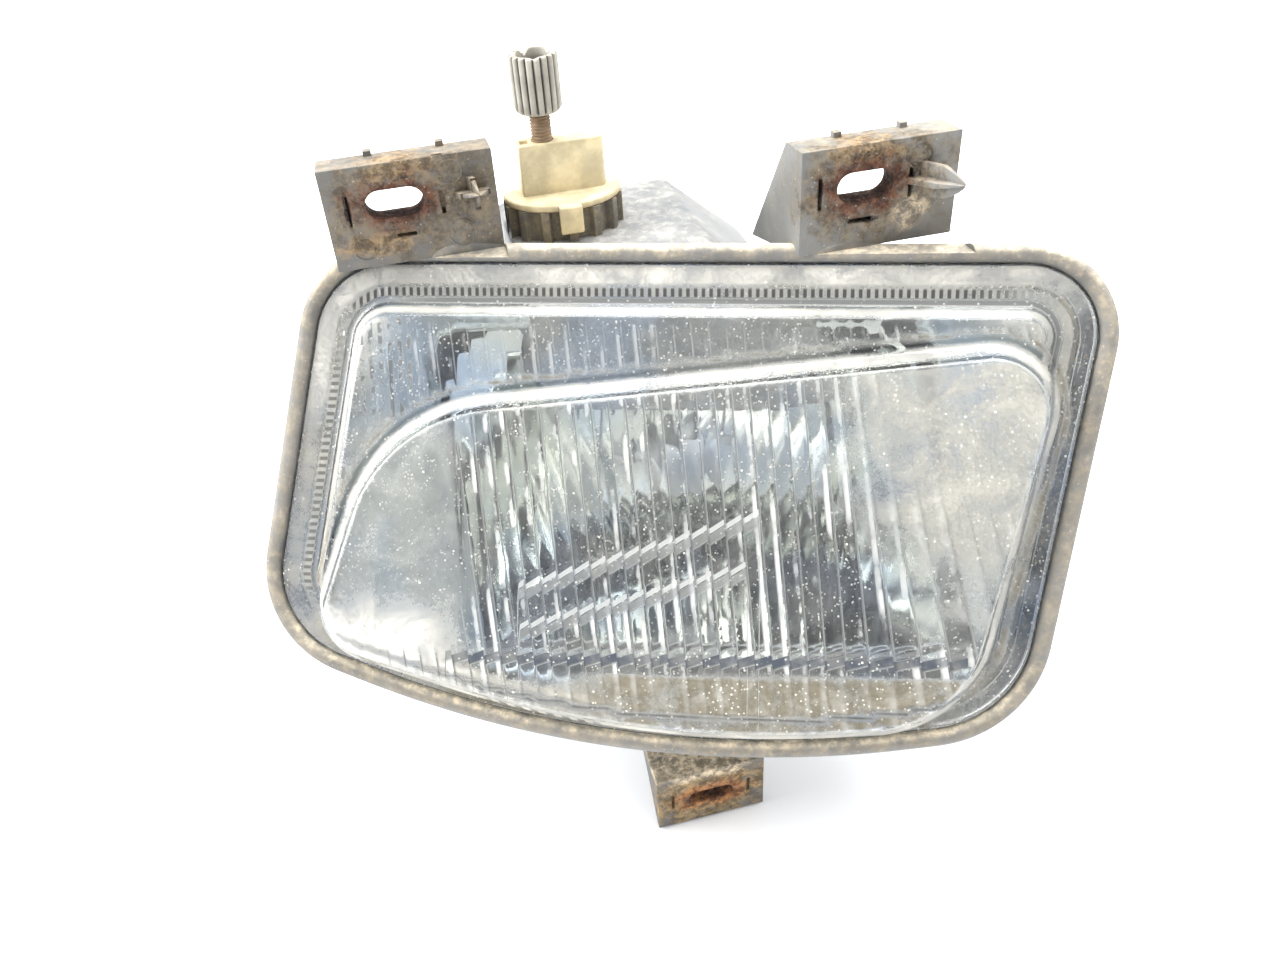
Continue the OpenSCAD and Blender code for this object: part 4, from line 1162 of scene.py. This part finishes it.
def triangulated(boundary, cloud):
    """Triangles over a closed boundary and the points inside it; the boundary keeps its first indices."""
    n = len(boundary)
    everything = [Vector(p) for p in np.vstack([boundary, cloud])]
    edges = [(i, (i + 1) % n) for i in range(n)]
    verts, _, faces, origin, _, _ = delaunay_2d_cdt(everything, edges, [], 1, 1e-6)
    new_of = {}
    for k, sources in enumerate(origin):
        for s in sources:
            new_of[s] = k
    coords = np.array([tuple(v) for v in verts])
    return coords, faces, [new_of[i] for i in range(n)]


def make_lens():
    count = 640
    p, m = taut_band(RIM, count)
    outer_edge, inner_edge = SKIRT_OUT + 0.5, SKIRT_IN
    outer_boundary = p - outer_edge * m
    inner_boundary = p - inner_edge * m

    def outside_main(gap):
        return lambda q: depth_inside(q, MAIN_BAND) < -gap

    def on_main(gap):
        return lambda q: depth_inside(q, RIM_BAND) > gap

    bevel_rings = list(np.arange(-0.15, 6.1, 0.45))
    steps = list(np.arange(outer_edge + 0.7, STEP_EDGE + 1.6, 0.75))
    flat = np.stack(np.meshgrid(np.arange(-110, 110, 1.3), np.arange(-70, 62, 1.3)), -1).reshape(-1, 2)
    in_rim, in_main = depth_inside(flat, RIM_BAND), depth_inside(flat, MAIN_BAND)
    flat = flat[(in_main > 6.4) | ((in_rim > STEP_EDGE + 1.7) & (in_main < -0.6))]
    cloud = np.vstack([ring_cloud(RIM_BAND, steps, 0.9, outside_main(0.5)),
                       ring_cloud(MAIN_BAND, bevel_rings, 0.7, on_main(outer_edge + 0.35)), flat])
    outer_uv, outer_faces, outer_ring = triangulated(outer_boundary, cloud)

    column = np.arange(-28, 30, 1 / 8)
    rows = np.arange(-64, 60, 1.05)
    across = flute_u(column[:, None], rows[None, :])
    grid = np.stack([across, np.broadcast_to(rows[None, :], across.shape)], -1).reshape(-1, 2)
    in_rim, in_main = depth_inside(grid, RIM_BAND), depth_inside(grid, MAIN_BAND)
    grid = grid[(in_main > 5.3) | ((in_rim > STEP_EDGE + 1.3) & (in_main < -0.7))]
    steps = list(np.arange(inner_edge + 0.6, STEP_EDGE + 1.2, 0.62))
    bevel_rings = list(np.arange(-0.2, 5.2, 0.5))
    cloud = np.vstack([ring_cloud(RIM_BAND, steps, 0.5, outside_main(0.55)),
                       ring_cloud(MAIN_BAND, bevel_rings, 0.7, on_main(inner_edge + 0.35)), grid])
    inner_uv, inner_faces, inner_ring = triangulated(inner_boundary, cloud)

    top, top_in_rim, top_in_main = outer_height(outer_uv)
    on_glass = film_cover(outer_uv, top_in_rim, top_in_main)
    under_top, in_rim, in_main = outer_height(inner_uv)
    under_top = under_top - GLASS_WALL - flute_depth(inner_uv, in_rim, in_main)
    under_top = under_top + knurl_depth(inner_uv, in_rim)
    verts = np.vstack([to_row(outer_uv[:, 0], outer_uv[:, 1], top),
                       to_row(inner_uv[:, 0], inner_uv[:, 1], under_top)])
    faces = [tuple(f) for f in outer_faces]
    shift = len(outer_uv)
    faces += [tuple(i + shift for i in reversed(f)) for f in inner_faces]
    rings = [outer_ring]
    extra = []
    sides = [(SKIRT_OUT + 0.2, FLANGE_TOP - 0.08), (SKIRT_OUT, FLANGE_TOP - 0.35),
             (SKIRT_OUT, SKIRT_END + 0.2), (SKIRT_OUT + 0.2, SKIRT_END), (SKIRT_IN - 0.2, SKIRT_END),
             (SKIRT_IN, SKIRT_END + 0.2)]
    start = len(verts)
    for inset, w in sides:
        extra.append(to_row(p[:, 0] - inset * m[:, 0], p[:, 1] - inset * m[:, 1], w))
        rings.append(list(range(start, start + count)))
        start += count
    rings.append([i + shift for i in inner_ring])
    verts = np.vstack([verts, *extra])
    for a, b in zip(rings, rings[1:]):
        faces += [(a[i], a[(i + 1) % count], b[(i + 1) % count], b[i]) for i in range(count)]
    lens = raw_mesh("lens_glass", verts, faces)
    unmarked = np.zeros(len(verts) - len(outer_uv))
    for name, values in on_glass.items():
        held = lens.data.attributes.new(name, "FLOAT", "POINT")
        held.data.foreach_set("value", np.concatenate([np.clip(values, 0, 1), unmarked]))
    return finish_piece(lens, "lamp", "lens_glass", LOOKS["glass"], "lens", sharp=50)


make_lens()


# ---------- behind the glass ----------


def make_bezel():
    """Silver trim between the housing and the tilting reflector, with a rolled lip round its opening."""
    count = 560
    outer, m_out = taut_band(RIM, count)
    hole, m_in = taut_band(OPENING, count)
    a0, b0 = outer.mean(0), hole.mean(0)
    angle_out = np.unwrap(np.arctan2(outer[:, 1] - a0[1], outer[:, 0] - a0[0]))
    angle_in = np.unwrap(np.arctan2(hole[:, 1] - b0[1], hole[:, 0] - b0[0]))
    fine = np.arange(3 * count)
    long_in = np.concatenate([angle_in - math.tau, angle_in, angle_in + math.tau])
    index = np.interp(angle_out, long_in, fine) % count
    match, normal = at_index(hole, index), at_index(m_in, index)
    edge = outer - (APERTURE + 0.15) * m_out
    rows = []
    for t, w in ((0, -7.2), (0.3, -7), (0.6, -7), (0.9, -7.05)):
        q = edge * (1 - t) + (match + normal) * t
        rows.append(to_row(q[:, 0], q[:, 1], w))
    lip = [(-1.6, -7.1), (-0.8, -7.4), (-0.2, -8.1), (0.1, -9.2), (0.1, -10.2), (-0.7, -10.2), (-0.8, -9.4),
           (-1.6, -9)]
    for inset, w in lip:
        q = match - inset * normal
        rows.append(to_row(q[:, 0], q[:, 1], w))
    rows.append(to_row(edge[:, 0], edge[:, 1], -9.0))
    bezel = raw_mesh("bezel_trim", np.vstack(rows), grid_faces(len(rows), count, close_rows=True))
    return finish_piece(bezel, "lamp", "silver_trim", LOOKS["trim"], "bezel")


def make_reflector():
    """The mirrored bowl: a paraboloid cut to a rounded box, its edge sloped with the lens."""
    focal, bottom = 22.0, 58.0
    outline = [(51, -96.5, 10), (51, -46.5, 10), (-24, -57.5, 21), (-35, -96.5, 10)]
    band, _ = taut_band(outline, 1600)
    count = 420
    angles = np.linspace(0, math.tau, count, endpoint=False)
    band_angle = np.arctan2(band[:, 1] - AXIS_Z, band[:, 0] - AXIS_X) % math.tau
    order = np.argsort(band_angle)
    reach = np.linalg.norm(band - (AXIS_X, AXIS_Z), axis=1)[order]
    reach = np.interp(angles, band_angle[order], reach, period=math.tau)

    def front_y(x, z):
        """Where the bowl's edge lies, 14 mm behind the lens plane."""
        sideways = (x - LENS_CENTRE[0]) * LENS_N[0]
        return LENS_CENTRE[1] + (-14 - sideways - (z - LENS_CENTRE[2]) * LENS_N[2]) / LENS_N[1]

    def bowl(r):
        return bottom - r * r / (4 * focal)

    inner, outer = [], []
    radial = 64
    for k in range(radial + 1):
        t = k / radial
        r = 9 + (reach - 9) * t
        x, z = AXIS_X + r * np.cos(angles), AXIS_Z + r * np.sin(angles)
        limit = front_y(x, z)
        y = np.maximum(bowl(r), limit)
        inner.append(np.stack([x, y, z], 1))
        outer.append(np.stack([x, np.maximum(y + 2.2, limit + 0.4), z], 1))
    x, z = AXIS_X + reach * np.cos(angles), AXIS_Z + reach * np.sin(angles)
    wall_bottom = np.maximum(bowl(reach), front_y(x, z) + 0.02)
    wall_top = front_y(x, z)
    for t in np.linspace(0, 1, 14)[1:]:
        y = wall_bottom * (1 - t) + wall_top * t
        inner.append(np.stack([x, y, z], 1))
    lip_x, lip_z = AXIS_X + (reach + 1.6) * np.cos(angles), AXIS_Z + (reach + 1.6) * np.sin(angles)
    lip_y = front_y(lip_x, lip_z)
    wall_out = []
    for t in np.linspace(0, 1, 8):
        y = lip_y * (1 - t) + (np.maximum(bowl(reach), wall_top) + 2.2) * t
        wall_out.append(np.stack([lip_x, y, lip_z], 1))
    rows = inner + wall_out + outer[::-1]
    shell = raw_mesh("reflector_bowl", np.vstack(rows), grid_faces(len(rows), count, close_rows=True))
    finish_piece(shell, "optic", "mirror_coat", LOOKS["mirror"], "reflector", sharp=50)
    profile = [(9, 52), (17.5, 52), (18, 52.5), (18, 60), (17.5, 60.5), (9.5, 60.5), (9, 60)]
    boss = lathe("boss", profile, "y", (AXIS_X, 0, AXIS_Z), 96)
    x, y = SCREW
    lug = soften(box("lug", (x - 5.5, y - 3.5, -56), (x + 5.5, y + 5.5, -36)), 0.6)
    pieces = [boss, lug]
    eye = [(-6, 0)] + arc(6, math.pi, 0, 20) + [(16, 6), (16, -6)] + arc(6, 0, -math.pi, 20)[6:-1]
    for x in (-51, 62.5):
        ear = prism("ear", eye, 0, 4.2, along("x", (x, 10, -95)))
        bore = prism("bore", ring_points(4), -2, 8, along("x", (x, 10, -95)))
        pieces.append(soften(cut(ear, bore), 0.3, 2))
    backs = joined("reflector_mounts", pieces)
    finish_piece(backs, "optic", "mirror_coat", LOOKS["mirror"], "reflector")


make_bezel()
make_reflector()

# ---------- adjuster ----------


def make_screw():
    """A coarse threaded screw: a helix crest and root, with a plain tail."""
    pitch, turns_low, turns_high = 0.8, -26.0, KNOB_Z + 4
    count = 40
    steps_per_turn = 8
    total = int((turns_high - turns_low) / pitch * steps_per_turn)
    rows = []
    for k in range(total + 1):
        z = turns_low + (turns_high - turns_low) * k / total
        ring = []
        for c in range(count):
            a = math.tau * c / count
            phase = ((z / pitch) - c / count) % 1.0
            r = 2.5 - 0.42 * (0.5 - 0.5 * math.cos(math.tau * phase)) ** 0.8
            ring.append((SCREW[0] + r * math.cos(a), SCREW[1] + r * math.sin(a), z))
        rows.append(ring)
    verts = [p for ring in rows for p in ring]
    thread = raw_mesh("thread", verts, capped_faces(len(rows), count))
    profile = [(0, -33), (1.7, -33), (2.0, -32.7), (2.0, -26.4), (2.2, -26), (0, -26)]
    tail = lathe("tail", profile, "z", (*SCREW, 0), 32)
    screw = joined("adjuster_screw_thread", [thread, tail])
    return finish_piece(screw, "knob", "dull_steel", LOOKS["dull"], "adjuster_screw")


def make_knob():
    """A fluted knob with a chamfered foot; its top is a worn wall round a hollow."""
    count, flutes = 360, 18
    outside = [(0.0, 0.84, 0.0), (0.4, 0.93, 0.6), (0.9, 0.99, 1.0), (KNOB_LEN * 0.35, 1.0, 1.0),
               (KNOB_LEN * 0.7, 1.0, 1.0), (KNOB_LEN - 0.5, 1.0, 1.0), (KNOB_LEN - 0.12, 0.985, 0.9),
               (KNOB_LEN, 0.95, 0.7)]
    hollow = [(4.3, KNOB_LEN), (4.1, KNOB_LEN - 0.3), (4.0, KNOB_LEN - 2.6), (1.6, KNOB_LEN - 2.8),
              (1.4, KNOB_LEN - 2.2), (0.05, KNOB_LEN - 2.1)]
    verts, grooves = [], []

    def worn(a, h):
        broken = ((1.9, 1.5), (2.7, 0.9), (0.5, 0.8), (4.6, 0.35))
        chips = sum(deep * max(0.0, math.cos(a - at)) ** 60 for at, deep in broken)
        return h - chips * smoothstep(h, KNOB_LEN - 1, KNOB_LEN)

    for h, scale, deep in outside:
        for c in range(count):
            a = math.tau * c / count
            groove = (1 - abs(math.sin(a * flutes / 2))) ** 1.6 * deep
            r = KNOB_R * scale - 0.8 * groove
            verts.append((SCREW[0] + r * math.cos(a), SCREW[1] + r * math.sin(a), KNOB_Z + worn(a, h)))
            grooves.append(groove)
    for r, h in hollow:
        for c in range(count):
            a = math.tau * c / count
            verts.append((SCREW[0] + r * math.cos(a), SCREW[1] + r * math.sin(a), KNOB_Z + worn(a, h)))
            # The hollow's walls and floor are marked for painted shade.
            grooves.append(0.55 if h < KNOB_LEN - 1 else 0.0)
    knob = raw_mesh("adjuster_knob_fluted", verts, capped_faces(len(outside) + len(hollow), count))
    knob.data.attributes.new("groove", "FLOAT", "POINT").data.foreach_set("value", grooves)
    return finish_piece(knob, "knob", "pale_plastic", LOOKS["pale"], "adjuster_knob", sharp=50)


def make_bush():
    """Cream bush: a thin oval disc, a flat upright block round the screw, and a snap tab in front."""
    x0, y0 = COLLAR_X, SCREW[1]
    half, left, right, top = 3.15, -9.7, 10.8, 4.5
    disc = oval_prism("adjuster_bush_block", ring_points(14.3, 96), COLLAR_TOP, COLLAR_TOP + 1.9)
    soften(disc, 0.7, 4, 30)
    stem = oval_prism("stem", ring_points(10.2, 64), -22, COLLAR_TOP + 0.5)
    corner = half * 0.75
    outline = [(left, -half), (right - corner, -half)]
    outline += arc(corner, -math.pi / 2, 0, 8, (right - corner, corner - half))[1:]
    outline += [(a, -b) for a, b in outline[:1:-1]] + [(left, half)]
    block = prism("block", outline, COLLAR_TOP + 1, top, along("z", (x0, y0, 0)))
    notch = box("notch", (x0 + left + 0.8, y0 - 1.3, top - 1.1), (x0 + left + 2.9, y0 + 1.3, top + 1))
    cut(block, notch)
    soften(block, 0.4, 3, 30)
    front = y0 - 14.3 * COLLAR_OVAL
    tab = box("tab", (x0 - 3, front - 1.6, COLLAR_TOP - 5), (x0 + 2.5, front - 0.1, COLLAR_TOP + 1.7))
    arm = box("arm", (x0 - 3, front - 1.6, COLLAR_TOP + 0.2), (x0 + 2.5, front + 2, COLLAR_TOP + 1.7))
    soften(union(tab, arm), 0.45, 3)
    union(disc, stem, block, tab)
    cut(disc, prism("bore", ring_points(2.62, 40), -30, 30, along("z", (*SCREW, 0))))
    finish_piece(disc, "lamp", "cream_plastic", LOOKS["cream"], "adjuster_bush", sharp=35)
    seal = oval_prism("adjuster_seal_ring", ring_points(12.4, 64), COLLAR_TOP - 0.9, COLLAR_TOP)
    cut(seal, oval_prism("bore", ring_points(10.3, 64), COLLAR_TOP - 3, COLLAR_TOP + 3))
    return finish_piece(soften(seal, 0.2, 2), "lamp", "seal_rubber", LOOKS["rubber"], "adjuster_seal")


make_screw()
make_knob()
make_bush()

# ---------- the small parts: CAD shapes with rounded edges ----------

# node: body, slot, look and width of the rounded edges
SMALL_PARTS = {
    "lens_seal": ("lamp", "sealant", "sealant", 0),
    "bulb_seat": ("optic", "steel", "steel", 0.2),
    "seat_screws": ("optic", "steel", "steel", 0.4),
    "bulb_shield": ("optic", "shield_metal", "shield", 0.2),
    "bulb_glass": ("optic", "bulb_glass", "bulb", 0),
    "bulb_filament": ("optic", "filament", "filament", 0),
    "bulb_base": ("optic", "bulb_metal", "bulb_metal", 0.2),
    "bulb_contact": ("optic", "contact_metal", "contact", 0.15),
    "bulb_clip": ("clip", "spring_steel", "spring", 0),
    "lead_boot": ("optic", "black_plastic", "black", 0.5),
    "earth_tab": ("optic", "contact_metal", "contact", 0.15),
    "connector_shell": ("lamp", "black_plastic", "black", 0.7),
    "connector_seal": ("lamp", "seal_rubber", "orange", 0.3),
    "connector_pins": ("lamp", "contact_metal", "contact", 0.15),
    "rear_cap": ("cap", "black_plastic", "black", 0.7),
    "cap_seal": ("cap", "seal_rubber", "rubber", 0.4),
    "vent_elbow": ("lamp", "seal_rubber", "rubber", 0.4),
    "adjuster_ball": ("lifter", "nylon", "nylon", 0.2),
    "ball_socket": ("optic", "nylon", "nylon", 0.5),
    "pivot_pins": ("lamp", "steel", "steel", 0.3),
    "pivot_bushes": ("optic", "nylon", "nylon", 0.3),
}


def refine(node, body, slot, look, width):
    """A copy of a CAD node with its edges rounded, riding in the node's place."""
    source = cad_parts[node]
    mesh = source.data.copy()
    mesh.transform(source.matrix_world)
    copy = link(f"{node}_detail", mesh)
    if width:
        soften(copy, width, 3, 35)
    return finish_piece(copy, body, slot, LOOKS[look], node, sharp=35)


for part, (part_body, part_slot, part_look, part_width) in SMALL_PARTS.items():
    refine(part, part_body, part_slot, part_look, part_width)


def make_leads():
    """Two insulated leads from the connector to the bulb."""
    seat_y, plug_x, lead_r = 62.0, -39.5, 1.1
    live = [(plug_x, 56.5, -68), (-24, 57.5, -70), (-12, 60, -72), (-4, 70, -74),
            (AXIS_X - 9, seat_y + 14.5, AXIS_Z), (AXIS_X - 3.7, seat_y + 14.5, AXIS_Z)]
    earth = [(plug_x, 56.5, -76), (-24, 57.5, -81), (-11, 61, -83),
             (AXIS_X - 15.2, seat_y + 5, AXIS_Z - 10.1)]
    for name, route, look in (("lead_live", live, "red_wire"), ("lead_earth", earth, "black_wire")):
        lead = tube(f"{name}_wire", smooth_path(route, 10), lead_r, 20)
        lead.data.materials.append(LOOKS[look])
        lead.data.shade_smooth()
        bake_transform(lead)
        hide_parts(name)


make_leads()

# ---------- floor, light, camera ----------


def make_floor():
    low = CAD_LOW.z - 0.0005
    size, steps = 3.0, 24
    verts, faces = [], []
    for j in range(steps + 1):
        for i in range(steps + 1):
            verts.append((-size + 2 * size * i / steps, -size + 2 * size * j / steps, low))
    for j in range(steps):
        for i in range(steps):
            a = j * (steps + 1) + i
            faces.append((a, a + 1, a + steps + 2, a + steps + 1))
    mesh = bpy.data.meshes.new("floor")
    mesh.from_pydata(verts, [], faces)
    floor = link("floor", mesh)
    look = Look("floor_paper", Roughness=0.8)
    look.colour(look.mix(look.band(look.noise(120, 3.0), 0.4, 0.6), (0.88, 0.88, 0.88), (0.93, 0.93, 0.93)))
    look.bump(look.noise(1.5, 3.0), 0.1, 0.2)
    mesh.materials.append(look.material)


LAMP_MIDDLE = (0, 0, -0.07)


def area_light(name, place, size, power):
    data = bpy.data.lights.new(name, "AREA")
    data.shape = "RECTANGLE"
    data.size, data.size_y = size
    data.energy = power
    lamp = bpy.data.objects.new(name, data)
    bpy.context.scene.collection.objects.link(lamp)
    lamp.location = place
    lamp.rotation_euler = (Vector(LAMP_MIDDLE) - Vector(place)).to_track_quat("-Z", "Y").to_euler()


def make_world():
    """A bright upper half over a darker band near the horizon, which the mirror picks up."""
    world = bpy.data.worlds.new("studio")
    bpy.context.scene.world = world
    world.use_nodes = True
    tree = world.node_tree
    place = tree.nodes.new("ShaderNodeTexCoord")
    split = tree.nodes.new("ShaderNodeSeparateXYZ")
    ramp = tree.nodes.new("ShaderNodeValToRGB")
    tree.links.new(place.outputs["Generated"], split.inputs[0])
    shift = tree.nodes.new("ShaderNodeMapRange")
    shift.inputs["From Min"].default_value = -1
    tree.links.new(split.outputs["Z"], shift.inputs["Value"])
    tree.links.new(shift.outputs["Result"], ramp.inputs["Fac"])
    stops = [(0.0, (0.9, 0.9, 0.92)), (0.48, (0.8, 0.81, 0.84)), (0.55, (0.4, 0.43, 0.48)),
             (0.66, (0.48, 0.51, 0.56)), (0.78, (1.1, 1.12, 1.15)), (1.0, (1.25, 1.25, 1.25))]
    elements = ramp.color_ramp.elements
    while len(elements) < len(stops):
        elements.new(0.5)
    for element, (at, colour) in zip(elements, stops):
        element.position = at
        element.color = (*colour, 1)
    tree.links.new(ramp.outputs["Color"], tree.nodes["Background"].inputs["Color"])
    tree.nodes["Background"].inputs["Strength"].default_value = 1.0


def make_camera():
    data = bpy.data.cameras.new("camera")
    data.lens, data.sensor_width = 29.475, 36
    data.clip_start, data.clip_end = 0.01, 20
    camera = bpy.data.objects.new("camera", data)
    bpy.context.scene.collection.objects.link(camera)
    right, up = Vector((0.9676, -0.2461, -0.0571)), Vector((0.1928, 0.5730, 0.7967))
    forward = Vector((0.1633, 0.7818, -0.6018))
    turn = Matrix((right, up, -forward)).transposed().to_4x4()
    camera.matrix_world = Matrix.Translation(Vector((-46.34, -199.34, 87.53)) * MM) @ turn
    bpy.context.scene.camera = camera


make_floor()
make_world()
area_light("overhead", (0.1, 0.3, 1.2), (1.4, 1.0), 34)
area_light("left", (-1.1, 0.2, 0.5), (0.7, 0.9), 21)
area_light("right", (1.0, -0.1, 0.5), (0.6, 0.9), 5)
make_camera()
view = bpy.context.scene.view_settings
view.view_transform = "Standard"
view.look = "None"
view.exposure = 0.15
